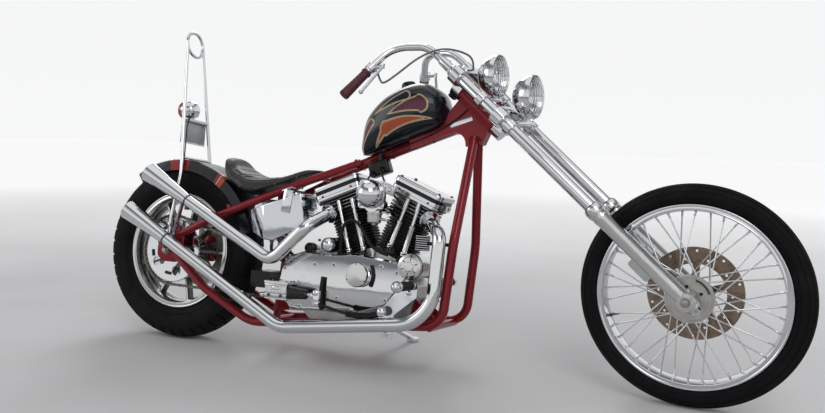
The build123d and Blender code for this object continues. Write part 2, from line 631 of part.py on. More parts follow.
grip = rod(grip_end - bar_out * grip_length, grip_end, grip_radius)
grip -= rod(grip_end - bar_out * 200, grip_end - bar_out * (3 - fit), bar_radius + fit)
node("grips", both_sides(grip), True)

# name, lens and bracket, along and ahead of the steering axis
lamp_table = (("upper", 935, 132, 899, 61), ("lower", 794, 164, 762, 74))
brackets, lamps, lenses = [], [], []
for name, lens_along, lens_ahead, along, ahead in lamp_table:
    lens_at = on_fork(lens_along, 0, lens_ahead)
    collars = hollow_rod(on_leg(along - 11, -leg_half), on_leg(along + 11, -leg_half), 27,
        fork_tube_radius + fit)
    bracket = both_sides(collars) + (rod(on_fork(along, -leg_half, ahead), on_fork(along, leg_half, ahead), 8)
        - rod(on_leg(along - 30, leg_half), on_leg(along + 30, leg_half), 25)
        - rod(on_leg(along - 30, -leg_half), on_leg(along + 30, -leg_half), 25))
    shell_foot = lens_at + vec(-30, 0, -58)
    bracket += rod(on_fork(along, 0, ahead), shell_foot, 7)
    brackets.append(bracket)
    shell_profile = Curve() + [Line((0, -76), (0, -73)), Line((0, -73), (6, -73)),
        ThreePointArc((6, -73), (48, -52), (69, -12)), Line((69, -12), (69, -1)),
        Line((69, -1), (73, -1)), Line((73, -1), (73, -12)), ThreePointArc((73, -12), (51, -55),
        (6, -76)), Line((6, -76), (0, -76))]
    glass_profile = Curve() + [Line((0, -1), (0, 22)), Line((0, 22), (6, 22)),
        ThreePointArc((6, 22), (42, 15), (68.5, 0)), Line((68.5, 0), (68.5, -8)),
        Line((68.5, -8), (64, -8)), ThreePointArc((64, -8), (36, -4), (6, -1)), Line((6, -1), (0, -1))]
    lamp_place = Pos(*lens_at) * Rot(0, 0, -90)
    shell = lamp_place * revolve(make_face(shell_profile), Axis.Y)
    lamps.append(shell)
    brackets[-1] = carve(brackets[-1], shell)
    lenses.append(lamp_place * revolve(make_face(glass_profile), Axis.Y))
node("lamp_brackets", brackets, True)
node("headlamps", lamps, True)
node("headlamp_lenses", lenses, True)

# Front brake: caliper on the left leg, hose, and the hand levers
caliper_along = 165
caliper_at = on_leg(caliper_along, 0) - ahead_fork * 34
caliper_plane = Plane(caliper_at, x_dir=ahead_fork, z_dir=up_fork)
caliper_low, caliper_high = front_disc_y - 16, leg_half - slider_radius - fit
caliper = caliper_plane * Pos(-18, (caliper_low + caliper_high) / 2, 0) * Box(62, caliper_high
    - caliper_low, 84)
caliper = fillet(caliper.edges().filter_by(Axis.Y), 10)
caliper -= disc(wheelbase, front_radius, front_disc_y - 5.5, front_disc_y + 5.5, front_disc_radius + 6)
caliper += caliper_plane * Pos(6, 80, 0) * Box(56, 30, 50)
node("front_caliper", carve(caliper, slider_left), True)
levers = []
for side in (-1, 1):
    start = (Vector(796, side * 283, 948) + Vector(-bar_out.X, -side * -bar_out.Y,
        -bar_out.Z) * (grip_length + 16))
    perch_way = Vector(bar_out.X, side * -bar_out.Y, bar_out.Z)
    perch = hollow_rod(start - perch_way * 10, start + perch_way * 10, bar_radius + 6, bar_radius + fit)
    knuckle = start + Vector(48, 0, 6)
    blade = (rod(start + Vector(17, 0, 2), knuckle, 7) + rod(knuckle, knuckle + perch_way * 132
        + Vector(14, 0, 0), 5))
    levers.append(carve(perch + blade, bar if side < 0 else mirror(bar, about=Plane.XZ)))
node("hand_levers", levers, True)
hose_points = [(917, -232, 986), (955, -206, 1020), (1005, -150, 1080), (1060, -100, 1112),
    tuple(on_fork(1085, -45, 112)), tuple(on_fork(1040, -12, 118)), tuple(on_fork(upper_clamp_at, -8, 80))]
hose = bent_tube(hose_points, 3.5, [40, 70, 50, 40, 14])
node("brake_hose", carve(hose, upper_clamp, *levers), True)

# Axle and stand
rear_axle = (disc(0, rear_radius, -140, 140, rear_axle_radius)
    + both_sides(disc(0, rear_radius, 122.5, 134, 16)) + disc(0, rear_radius, 90.5, 113.5, 18)
    + disc(0, rear_radius, -113.5, -89, 18))
node("rear_axle", rear_axle)
stand_pivot = Vector(770, rail_y + 44, 134)
stand_reach = Vector(78, 171, -78)
stand_folded = Vector(-1, 0.12, 0.02)
stand_axis = stand_reach.cross(stand_folded).normalized()
stand_plane = Plane(stand_pivot, x_dir=Vector(0, 1, 0).cross(stand_axis), z_dir=stand_axis)
barrel_half, lug_plate, stand_pin = 12, 5, 6
lug_level = barrel_half + joint_gap + lug_plate / 2
lug = (stand_plane * (Pos(0, -9, lug_level) * Box(34, 48, lug_plate))
    + stand_plane * (Pos(0, -9, -lug_level) * Box(34, 48, lug_plate)))
lug += stand_plane * (Pos(0, -30, 0) * Box(34, 20, 2 * lug_level + lug_plate))
lug += stand_plane * Cylinder(stand_pin, 2 * (barrel_half + joint_gap + lug_plate) + 8)
node("frame_crossmembers", [*members, carve(lug, frame_rails)])
stand_swing = degrees(acos(stand_reach.normalized().dot(stand_folded.normalized())))
foot = stand_pivot + stand_reach
ground_up = moved_point(parked.inverse(), (0, 0, 1)) - moved_point(parked.inverse(), (0, 0, 0))
foot_height = moved_point(parked, foot).Z
print("stand foot height before its pad", round(foot_height, 2), "swing", round(stand_swing, 2))
stand = rod(stand_pivot, foot, 9.5)
stand += rod(stand_pivot - stand_axis * barrel_half, stand_pivot + stand_axis * barrel_half, 14)
stand += Plane(foot - ground_up * foot_height, z_dir=ground_up) * Cylinder(24, foot_height + 3,
    align=(Align.CENTER, Align.CENTER, Align.MIN))
stand -= rod(stand_pivot - stand_axis * 40, stand_pivot + stand_axis * 40, stand_pin + running)
node("side_stand", stand)

# Rear brake: master cylinder, boot, clevis, rod, pedal and peg on the right, with the shift side opposite
control_y = -160
master = (slab(484, 570, control_y - 22, control_y + 22, 208, 262)
    + slab(480, 574, control_y - 24, control_y + 24, 262, 270))
master += (rod((484, control_y, 222), (458, control_y, 216), 9)
    + slab(500, 556, control_y + 22, -134 - fit, 214, 250))
node("master_cylinder", master)
boot = rod((570 + fit, control_y, 234), (640, control_y, 234), 23, 17)
node("brake_boot", boot)
peg_x, peg_z = 1018, 300
bracket_outline = [(905, 196), (922, 116), (962, 116), (962, 196), (1040, 262), (1040, 306), (1000, 318),
    (984, 300)]
bracket = side_plate(bracket_outline, -146, -139, 6)
pedal = (rod((640 + fit, control_y, 234), (676, control_y, 234), 6)
    + slab(664, 690, control_y - 8, control_y + 8, 196, 252))
pedal += (rod((684, control_y, 206), (800, control_y, 184), 5)
    + rod((800, control_y, 184), (929, control_y, 205), 7))
pedal += disc(929, 205, control_y - 12, -146, 13)
node("brake_pedal", pedal)
node("foot_brackets", both_sides(carve(bracket, generator, frame_rails)))
peg = disc(peg_x, peg_z, -290, -146 - fit, 15) + disc(peg_x, peg_z, -296, -288, 19)
node("foot_pegs", both_sides(peg))

rear_caliper = slab(92, 156, rear_disc_y - 20, rear_disc_y + 20, 328, 402)
rear_caliper = fillet(rear_caliper.edges().filter_by(Axis.Y), 10)
rear_caliper -= disc(0, rear_radius, rear_disc_y - 7, rear_disc_y + 7, rear_disc_radius + 6)
rear_caliper += slab(62, 100, axle_plate_y - axle_plate_thickness / 2 - fit - 9, axle_plate_y
    - axle_plate_thickness / 2 - fit, 334, 374)
node("rear_caliper", rear_caliper)
node("battery_box", carve(side_plate([(376, 236), (456, 236), (456, 296), (376, 296)], -112, -4, 6),
    *members))

# Switch box behind the neck, regulator at the front, starter caps over the crankcase
regulator = slab(1015, 1052, -116, -86, 416, 468) + slab(1050, 1135, -112, -104, 436, 448)
for index in range(6):
    regulator += slab(1013, 1054, -122, -100, 419 + index * 8.5, 422.5 + index * 8.5)
starter_dome = (disc(684, 410, -112, -40, 27) + Pos(684, -112,
    410) * (Sphere(27) & Pos(0, -14, 0) * Box(60, 28, 60)))
starter_cap = disc(614, 394, -118, -40, 19)
electrics = [Pos(-fit, 0, 0) * carve(regulator, frame_downtubes),
    carve(starter_dome, case, cover, *cylinders), carve(starter_cap, case, cover, *cylinders)]
node("electrics", electrics)
backbone_way = (Vector(*backbone_front) - Vector(*backbone_rear)).normalized()
cable_side = vec(0, -gusset_half - 3.2, 0)
cable_points = [tuple(Vector(*backbone_rear) + backbone_way * 60 + vec(0, -19 - 2.8, -2)),
    tuple(Vector(*backbone_rear) + backbone_way * 150 + vec(0, -19 - 2.8, -2)),
    tuple(neck_foot + vec(-150, 0, -6) + cable_side), tuple(neck_foot + vec(-96, 0, 52) + cable_side)]
breather_points = [(724, -96, 384), (722, -104, 470), (758, -112, 508), (800, -112, 490),
    (850, -104, 400), (905, -96, 392)]
cables = [carve(bent_tube(cable_points, 2.6, [200, 60]), neck),
    carve(bent_tube(breather_points, 5.5, [30, 24, 40, 30]), *pushrods, cover, generator)]
node("control_cables", cables)
shift_y = case_half + fit + 78 + fit
shift = (disc(929, 205, 146 + fit, 160, 13) + rod((929, 153, 205), (1004, 160, 232), 6)
    + disc(1004, 232, 152, 212, 8.5))
shift += (rod((929, 153, 205), (918, 153, 176), 6) + rod((918, 153, 176), (742, 148, 182), 4)
    + rod((742, 148, 182), (742, 148, 206), 6) + disc(742, 206, shift_y, 157, 10))
node("shift_lever", shift)

say("steer", on_fork(lower_clamp_at), up_fork)
say("front_axle", front_axle_centre, (0, 1, 0), True)
say("rear_axle", rear_axle_centre, (0, 1, 0))
say("stand", stand_pivot, stand_axis)
say("stand_foot", foot - ground_up * foot_height, -ground_up)
say("grip_right", grip_end - bar_out * (grip_length / 2), bar_out, True)
grip_left_end = vec(grip_end.X, -grip_end.Y, grip_end.Z)
bar_out_left = vec(bar_out.X, -bar_out.Y, bar_out.Z)
say("grip_left", grip_left_end - bar_out_left * (grip_length / 2), bar_out_left, True)
say("sissy", ring_centre, (-1, 0, 0))
print("pitch", round(pitch, 4), "heights", tyre_heights(parked))
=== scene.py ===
import json
from math import atan2, cos, hypot, pi, radians, sin, sqrt, tan
import bpy
import bmesh
from mathutils import Matrix, Vector

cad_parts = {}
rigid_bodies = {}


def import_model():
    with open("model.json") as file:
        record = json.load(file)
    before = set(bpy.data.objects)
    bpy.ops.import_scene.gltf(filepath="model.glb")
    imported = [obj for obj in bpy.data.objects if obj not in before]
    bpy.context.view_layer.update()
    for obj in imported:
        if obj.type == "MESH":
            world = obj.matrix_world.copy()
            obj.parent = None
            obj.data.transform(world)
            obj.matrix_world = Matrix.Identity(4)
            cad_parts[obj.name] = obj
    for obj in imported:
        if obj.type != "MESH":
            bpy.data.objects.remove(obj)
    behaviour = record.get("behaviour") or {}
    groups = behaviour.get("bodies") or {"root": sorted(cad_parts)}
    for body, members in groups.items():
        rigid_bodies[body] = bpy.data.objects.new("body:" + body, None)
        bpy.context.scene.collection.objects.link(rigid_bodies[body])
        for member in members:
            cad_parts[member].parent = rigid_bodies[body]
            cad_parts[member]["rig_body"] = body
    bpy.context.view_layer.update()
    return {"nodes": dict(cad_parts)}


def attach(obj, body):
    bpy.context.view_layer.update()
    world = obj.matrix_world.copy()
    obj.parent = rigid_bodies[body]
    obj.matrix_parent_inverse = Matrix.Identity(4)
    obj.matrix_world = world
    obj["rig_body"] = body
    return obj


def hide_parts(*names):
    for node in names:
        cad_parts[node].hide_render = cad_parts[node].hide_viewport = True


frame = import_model()
nodes = frame["nodes"]
scene = bpy.context.scene
print("frame loaded,", len(nodes), "nodes")


def mm(x, y, z):
    return Vector((x, y, z)) / 1000


def at(x, y, z):
    return Matrix.Translation(mm(x, y, z))


# How the machine stands; pieces are built upright and straight ahead, then leaned on the stand
stance = {
    "lean": 7.85, "pitch": -0.0544, "lift": 0.00075, "steer": -10.0,
    "rake": 48.5, "offset": 0.0555, "wheelbase": 1.885, "frontRadius": 0.345, "rearRadius": 0.34,
}
rake = radians(stance["rake"])
upFork = Vector((-sin(rake), 0, cos(rake)))
aheadFork = Vector((cos(rake), 0, sin(rake)))
frontAxle = Vector((stance["wheelbase"], 0, stance["frontRadius"]))
rearAxle = Vector((0, 0, stance["rearRadius"]))
steerFoot = frontAxle - aheadFork * stance["offset"]
parked = (Matrix.Translation((0, 0, stance["lift"])) @ Matrix.Rotation(radians(stance["pitch"]), 4, "Y")
          @ Matrix.Rotation(radians(-stance["lean"]), 4, "X"))
steered = (parked @ Matrix.Translation(steerFoot) @ Matrix.Rotation(radians(stance["steer"]), 4, upFork)
           @ Matrix.Translation(-steerFoot))


def onFork(along, y=0.0, ahead=0.0):
    return steerFoot + upFork * along + aheadFork * ahead + Vector((0, y, 0))


def onLeg(along, y):
    return onFork(along, y, stance["offset"])


# Camera at the photograph's place
look = {"place": (1.960, -2.466, 0.829), "yaw": 21.796, "pitch": -5.57, "roll": 1.364, "lens": 34.162}
yaw, tip, roll = (radians(look[k]) for k in ("yaw", "pitch", "roll"))
forward = Vector((-sin(yaw) * cos(tip), cos(yaw) * cos(tip), sin(tip)))
rightWay = Vector((cos(yaw), sin(yaw), 0))
upWay = rightWay.cross(forward)
cameraData = bpy.data.cameras.new("camera")
cameraData.lens = look["lens"]
cameraData.sensor_width = 36
camera = bpy.data.objects.new("camera", cameraData)
scene.collection.objects.link(camera)
acrossWay = rightWay * cos(roll) + upWay * sin(roll)
overWay = upWay * cos(roll) - rightWay * sin(roll)
cameraTurn = Matrix((acrossWay, overWay, -forward)).transposed().to_4x4()
camera.matrix_world = Matrix.Translation(look["place"]) @ cameraTurn
scene.camera = camera


# Materials
class Finish:  # one material with its nodes; settings go straight on the shader
    def __init__(self, name, colour, rough, metal=0.0, roughened=None, tinted=None, bumped=None, **settings):
        self.mat = bpy.data.materials.new(name)
        self.mat.use_nodes = True
        self.tree = self.mat.node_tree
        self.shader = self.tree.nodes["Principled BSDF"]
        settings.update(Roughness=rough, Metallic=metal, Base_Color=(*colour, 1))
        for key, value in settings.items():
            self.shader.inputs[key.replace("_", " ")].default_value = value
        self.point = self.node("ShaderNodeTexCoord").outputs["Object"]
        if roughened:  # noise scale and detail, lowest and highest roughness
            self.roughen(self.noise(*roughened[:2]), *roughened[2:])
        if tinted:  # noise scale, detail, where it starts and is full, its most, colour
            scale, detail, low, high, most, shade = tinted
            self.tint(self.spread(self.noise(scale, detail), low, high, 0, most), shade)
        if bumped:  # noise scale and detail, strength and distance
            self.bump(self.noise(*bumped[:2]), *bumped[2:])

    def node(self, kind, **values):
        made = self.tree.nodes.new(kind)
        for key, value in values.items():
            setattr(made, key, value)
        return made

    def link(self, start, end):
        self.tree.links.new(start, end)

    def turnTo(self, matrix):  # pattern coordinates in the piece's own upright frame
        mapping = self.node("ShaderNodeMapping")
        back = matrix.inverted()
        mapping.inputs["Location"].default_value = back.to_translation()
        mapping.inputs["Rotation"].default_value = back.to_euler()
        self.link(self.point, mapping.inputs["Vector"])
        self.point = mapping.outputs["Vector"]

    def math(self, operation, *values):  # of numbers or other nodes' outputs
        made = self.node("ShaderNodeMath", operation=operation)
        for socket, value in zip(made.inputs, values):
            if isinstance(value, (int, float)):
                socket.default_value = value
            else:
                self.link(value, socket)
        return made.outputs[0]

    def times(self, a, b):
        return self.math("MULTIPLY", a, b)

    def spread(self, value, *limits):  # low and high in, low and high out
        made = self.node("ShaderNodeMapRange")
        for socket, limit in zip(list(made.inputs)[1:], limits):
            socket.default_value = limit
        self.link(value, made.inputs[0])
        return made.outputs[0]

    def noise(self, scale, detail=3.0, rough=0.5):
        made = self.node("ShaderNodeTexNoise")
        for key, value in (("Scale", scale), ("Detail", detail), ("Roughness", rough)):
            made.inputs[key].default_value = value
        self.link(self.point, made.inputs["Vector"])
        return made.outputs["Fac"]

    def tint(self, fac, colour):  # mixes a colour over what is there
        made = self.node("ShaderNodeMix", data_type="RGBA")
        made.inputs[7].default_value = (*colour, 1)
        base = self.shader.inputs["Base Color"]
        if base.is_linked:
            self.link(base.links[0].from_socket, made.inputs[6])
        else:
            made.inputs[6].default_value = base.default_value
        self.link(fac, made.inputs[0])
        self.link(made.outputs[2], base)

    def roughen(self, fac, low, high):
        self.link(self.spread(fac, 0.3, 0.7, low, high), self.shader.inputs["Roughness"])

    def bump(self, height, strength, distance):
        made = self.node("ShaderNodeBump")
        made.inputs["Strength"].default_value = strength
        made.inputs["Distance"].default_value = distance
        self.link(height, made.inputs["Height"])
        normal = self.shader.inputs["Normal"]
        if normal.is_linked:
            self.link(normal.links[0].from_socket, made.inputs["Normal"])
        self.link(made.outputs["Normal"], normal)

    def split(self):
        made = self.node("ShaderNodeSeparateXYZ")
        self.link(self.point, made.inputs[0])
        return made.outputs


def chromeFinish(name, colour=(0.66, 0.67, 0.69), low=0.05, high=0.13, **settings):
    made = Finish(name, colour, 0.08, 1.0, (9, 4, low, high), **settings)
    made.tint(made.spread(made.noise(38, 5, 0.65), 0.56, 0.78, 0, 0.35), (0.52, 0.49, 0.45))  # faint dust
    return made


chrome = chromeFinish("chrome")
pipeChrome = chromeFinish("pipeChrome", (0.66, 0.67, 0.68), 0.04, 0.11)
softChrome = chromeFinish("softChrome", (0.60, 0.62, 0.66), 0.08, 0.16, bumped=(7, 2, 0.35, 0.012))
polishedAlloy = chromeFinish("polishedAlloy", (0.60, 0.60, 0.60), 0.14, 0.26, bumped=(8, 2, 0.30, 0.012))
castAlloy = Finish("castAlloy", (0.52, 0.52, 0.51), 0.42, 1.0, (40, 4, 0.32, 0.55), None, (420, 3, 0.25, 0.0004))
dustyAlloy = Finish("dustyAlloy", (0.50, 0.49, 0.47), 0.4, 1.0, (50, 4, 0.3, 0.5),
                    (22, 5, 0.48, 0.7, 0.5, (0.33, 0.31, 0.28)))
steel = Finish("steel", (0.36, 0.34, 0.31), 0.36, 1.0, (70, 4, 0.28, 0.5), (45, 5, 0.52, 0.75, 0.5, (0.16, 0.11, 0.07)))
chainSteel = Finish("chainSteel", (0.16, 0.15, 0.14), 0.38, 1.0, (80, 4, 0.3, 0.5),
                    (60, 4, 0.5, 0.7, 0.5, (0.09, 0.07, 0.05)))
bronzeSteel = Finish("bronzeSteel", (0.27, 0.205, 0.155), 0.3, 1.0, (70, 4, 0.2, 0.4),
                     (55, 5, 0.45, 0.7, 0.6, (0.12, 0.09, 0.07)))
darkSteel = Finish("darkSteel", (0.10, 0.10, 0.105), 0.35, 1.0, (120, 4, 0.25, 0.45))
reflector = Finish("reflector", (0.78, 0.79, 0.80), 0.1, 1.0, (60, 3, 0.06, 0.16))
candyRed = Finish("candyRed", (0.21, 0.003, 0.010), 0.34, 0.35, None, (1500, 2, 0.52, 0.7, 0.5, (0.42, 0.02, 0.03)),
                  Coat_Weight=0.35, Coat_Roughness=0.03, Specular_IOR_Level=0.3)
candyRed.tint(candyRed.spread(candyRed.noise(14, 4), 0.55, 0.8, 0, 0.35), (0.09, 0.006, 0.01))
blackGloss = Finish("blackGloss", (0.006, 0.006, 0.007), 0.2, 0, None, (60, 5, 0.55, 0.8, 0.3, (0.05, 0.045, 0.04)),
                    Coat_Weight=0.15, Coat_Roughness=0.05, Specular_IOR_Level=0.2)
blackCast = Finish("blackCast", (0.010, 0.010, 0.011), 0.45, 0.2, (60, 4, 0.38, 0.6),
                   (25, 5, 0.52, 0.8, 0.4, (0.07, 0.06, 0.05)), (500, 3, 0.3, 0.0004), Specular_IOR_Level=0.3)
plateGrey = Finish("plateGrey", (0.42, 0.43, 0.46), 0.34, 0.3, None, (30, 5, 0.5, 0.75, 0.4, (0.2, 0.2, 0.2)))
soot = Finish("soot", (0.006, 0.006, 0.006), 0.85, 0, None, (90, 4, 0.5, 0.7, 0.6, (0.03, 0.028, 0.026)))
rubber = Finish("rubber", (0.012, 0.012, 0.013), 0.55, 0, (30, 4, 0.5, 0.75), None, (700, 2, 0.2, 0.0003),
                Specular_IOR_Level=0.3)
bootRubber = Finish("bootRubber", (0.012, 0.012, 0.013), 0.34, 0, (60, 3, 0.28, 0.45), Specular_IOR_Level=0.7)
gripRubber = Finish("gripRubber", (0.085, 0.012, 0.02), 0.55, 0, (60, 3, 0.42, 0.65), None, (800, 2, 0.2, 0.0003))
cableGrey = Finish("cableGrey", (0.16, 0.16, 0.155), 0.45, bumped=(900, 2, 0.2, 0.0003))
tyreRubber = Finish("tyreRubber", (0.005, 0.005, 0.006), 0.6, 0, (20, 4, 0.5, 0.72), None, (600, 3, 0.25, 0.0004),
                    Specular_IOR_Level=0.12)
tyreRubber.tint(tyreRubber.spread(tyreRubber.noise(11, 6, 0.6), 0.52, 0.80, 0, 0.2), (0.05, 0.045, 0.038))
leatherTrim = Finish("leatherTrim", (0.02, 0.02, 0.022), 0.35, 0, (90, 3, 0.28, 0.45))
leather = Finish("leather", (0.014, 0.014, 0.016), 0.4, 0, (35, 4, 0.32, 0.5))
grain = leather.node("ShaderNodeTexVoronoi")
grain.inputs["Scale"].default_value = 420
leather.link(leather.point, grain.inputs["Vector"])
leather.bump(grain.outputs["Distance"], 0.5, 0.0006)
bulbGlass = Finish("bulbGlass", (0.72, 0.72, 0.70), 0.15, 0, (90, 2, 0.1, 0.2), Coat_Weight=0.5)
redGlass = Finish("redGlass", (0.55, 0.01, 0.015), 0.12, 0, None, (30, 4, 0.5, 0.8, 0.3, (0.3, 0.005, 0.01)),
                  Transmission_Weight=0.35, IOR=1.49, Coat_Weight=0.6)
glass = Finish("glass", (0.95, 0.97, 0.98), 0.03, Transmission_Weight=1.0, IOR=1.46)
glass.turnTo(steered)
glass.roughen(glass.noise(30, 3), 0.02, 0.06)
glass.bump(glass.math("SINE", glass.times(glass.split()[1], 480)), 0.5, 0.0016)  # flutes
coverMirror = chromeFinish("coverMirror", (0.64, 0.645, 0.65), 0.07, 0.15)
coverMirror.turnTo(parked)
rise = coverMirror.math("SUBTRACT", coverMirror.split()[2], 0.275)
coverMirror.bump(coverMirror.times(coverMirror.times(rise, rise), -2.2), 1.0, 1.0)  # a crowned casting
coverMirror.bump(coverMirror.noise(9, 2), 0.25, 0.01)
wheelPaint = Finish("wheelPaint", (0.006, 0.006, 0.007), 0.22, Coat_Weight=0.3, Coat_Roughness=0.05)
wheelPaint.turnTo(parked)
x, y, z = wheelPaint.split()
height = wheelPaint.math("SUBTRACT", z, stance["rearRadius"])
reach = wheelPaint.math("SQRT", wheelPaint.math("ADD", wheelPaint.times(x, x), wheelPaint.math("POWER", height, 2)))
side = wheelPaint.math("ABSOLUTE", y)
faces = wheelPaint.times(wheelPaint.spread(side, 0.0166, 0.0168), wheelPaint.spread(reach, 0.056, 0.058))
edge = wheelPaint.times(wheelPaint.spread(reach, 0.1885, 0.1892), wheelPaint.spread(side, 0.034, 0.035))
bright = wheelPaint.math("MAXIMUM", edge, faces)  # machined spokes and rim lips
wheelPaint.tint(bright, (0.62, 0.62, 0.63))
wheelPaint.link(bright, wheelPaint.shader.inputs["Metallic"])


# Making pieces
toRight = (0, -1, 0)


def aim(place, axis, spin=0.0):  # turns a shape's Z along an axis and carries it to its place
    turn = Vector(axis).to_track_quat("Z", "Y").to_matrix().to_4x4()
    return Matrix.Translation(place) @ turn @ Matrix.Rotation(spin, 4, "Z")


def facing(x, y, z, side=-1):  # a shape's Z out to one side of the machine
    return aim(mm(x, y, z), (0, side, 0))


def turning(degrees, axis="Y"):
    return Matrix.Rotation(radians(degrees), 4, axis)


def polar(radius, degrees):
    return radius * cos(radians(degrees)), radius * sin(radians(degrees))


def around(centre, radius, degrees, y=0.0):  # a point round a crosswise axle, sizes in mm
    across, over = polar(radius, degrees)
    return centre + mm(across, y, over)


def eased(shape, edges, offset, segments=2):
    bmesh.ops.bevel(shape, geom=edges, offset=offset, segments=segments, profile=0.5, affect="EDGES", material=-1)


def edgesAlong(shape, axis, least):  # the edges that run along one axis
    return [e for e in shape.edges if abs(e.verts[0].co[axis] - e.verts[1].co[axis]) > least]


def thickened(shape, face, way):  # grows a flat face into a plate
    grown = bmesh.ops.extrude_face_region(shape, geom=[face])
    corners = [v for v in grown["geom"] if isinstance(v, bmesh.types.BMVert)]
    bmesh.ops.translate(shape, vec=way, verts=corners)
    bmesh.ops.recalc_face_normals(shape, faces=shape.faces)


class Piece:  # sizes in millimetres, places in metres
    def __init__(self, name):
        self.name = name
        self.mesh = bmesh.new()

    def take(self, shape, place=None):
        if place is not None:
            bmesh.ops.transform(shape, matrix=place, verts=shape.verts)
        spare = bpy.data.meshes.new("spare")
        shape.to_mesh(spare)
        shape.free()
        self.mesh.from_mesh(spare)
        bpy.data.meshes.remove(spare)
        return self

    def lathe(self, profile, place, steps=48):  # profile is radius and height
        shape = bmesh.new()
        corners = [shape.verts.new(mm(r, 0, h)) for r, h in profile]
        sides = [shape.edges.new(pair) for pair in zip(corners, corners[1:])]
        bmesh.ops.spin(shape, geom=corners + sides, cent=(0, 0, 0), axis=(0, 0, 1), angle=2 * pi, steps=steps,
                       use_merge=True)
        bmesh.ops.remove_doubles(shape, verts=shape.verts, dist=1e-6)
        bmesh.ops.recalc_face_normals(shape, faces=shape.faces)
        self.take(shape, place)

    def ring(self, radius, thick, place, steps=48, sides=10):
        rounds = [polar(thick, 360 * i / sides) for i in range(sides + 1)]
        self.lathe([(radius + r, h) for r, h in rounds], place, steps)

    def bolt(self, place, axis, radius, height, sides=6, spin=0.0):
        radius, height = radius / 1000, height / 1000
        shape = bmesh.new()
        bmesh.ops.create_cone(shape, cap_ends=True, segments=sides, radius1=radius, radius2=radius, depth=height)
        bmesh.ops.translate(shape, verts=shape.verts, vec=(0, 0, height / 2))
        eased(shape, [e for e in shape.edges if all(v.co.z > height * 0.9 for v in e.verts)], radius * 0.22)
        self.take(shape, aim(place, axis, spin))

    def box(self, size, place, edge, segments=2):
        shape = bmesh.new()
        bmesh.ops.create_cube(shape, size=1)
        bmesh.ops.scale(shape, vec=mm(*size), verts=shape.verts)
        eased(shape, shape.edges[:], edge / 1000, segments)
        self.take(shape, place)

    def curve(self, line, radius, sides, ends):  # a curve's tube as a mesh
        line.dimensions = "3D"
        line.bevel_depth = radius / 1000
        line.bevel_resolution = sides
        line.use_fill_caps = ends
        spare = bpy.data.objects.new("spare", line)
        made = bpy.data.meshes.new_from_object(spare)
        shape = bmesh.new()
        shape.from_mesh(made)
        bpy.data.objects.remove(spare)
        bpy.data.meshes.remove(made)
        bmesh.ops.remove_doubles(shape, verts=shape.verts, dist=1e-6)
        self.take(shape)

    def tube(self, points, radius, resolution=10, sides=3):  # a smooth line through its control points
        line = bpy.data.curves.new(self.name, "CURVE")
        spline = line.splines.new("NURBS")
        spline.points.add(len(points) - 1)
        for spot, point in zip(spline.points, points):
            spot.co = (*point, 1)
        spline.order_u = 3
        spline.use_endpoint_u = True
        line.resolution_u = resolution
        self.curve(line, radius, sides, True)

    def pipe(self, points, radius, bends=(), ends=True, sides=5):  # straight steel with arcs of the bend radii
        knots = [(points[0], None, None)]
        for before, corner, after, bend in zip(points, points[1:], points[2:], bends):
            inWay, outWay = (corner - before).normalized(), (after - corner).normalized()
            turn = inWay.angle(outWay)
            reach, handle = bend / 1000 * tan(turn / 2), bend / 1000 * 4 / 3 * tan(turn / 4)
            knots.append((corner - inWay * reach, None, corner - inWay * (reach - handle)))
            knots.append((corner + outWay * reach, corner + outWay * (reach - handle), None))
        knots.append((points[-1], None, None))
        line = bpy.data.curves.new("tubeLine", "CURVE")
        spline = line.splines.new("BEZIER")
        spline.bezier_points.add(len(knots) - 1)
        spots = [knots[0][0]] + [row[0] for row in knots] + [knots[-1][0]]
        for knot, (spot, before, after), last, following in zip(spline.bezier_points, knots, spots, spots[2:]):
            knot.handle_left_type = knot.handle_right_type = "FREE"
            knot.co = spot
            knot.handle_left = before or spot + (last - spot) / 3
            knot.handle_right = after or spot + (following - spot) / 3
        line.resolution_u = 12
        self.curve(line, radius, sides, ends)

    def done(self, finish, slotName, *replaced, body="chassis", sharp=35.0):
        for edge in self.mesh.edges:
            edge.smooth = edge.calc_face_angle(0) < radians(sharp)
        for face in self.mesh.faces:
            face.smooth = True
        data = bpy.data.meshes.new(self.name)
        self.mesh.to_mesh(data)
        self.mesh.free()
        data.transform(steered if body.startswith("front") else parked)
        piece = bpy.data.objects.new(self.name, data)
        scene.collection.objects.link(piece)
        data.materials.append(finish.mat)
        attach(piece, body)
        if replaced:
            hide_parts(*replaced)


def pieces(*names):
    return [Piece(name) for name in names]


# Tyres: ribbed in front, blocks behind; sizes in millimetres
tyres = {
    "front": {"radius": 344.8, "crown": 42, "width": 80, "lip": 283, "rimHalf": 31, "depth": 4,
              "grooves": (-26.2, -20.5, -12.5, -4.2, 4.2, 12.5, 20.5, 26.2)},
    "rear": {"radius": 340, "crown": 80, "width": 130, "lip": 222, "rimHalf": 50, "depth": 6, "grooves": (-26, 0, 26)},
    "grooveHalf": 1.7,
}
blocks = {"steps": 216, "every": 5, "depth": 0.005, "middle": 0.026, "lanes": (0.003, 0.062), "tread": 0.300}


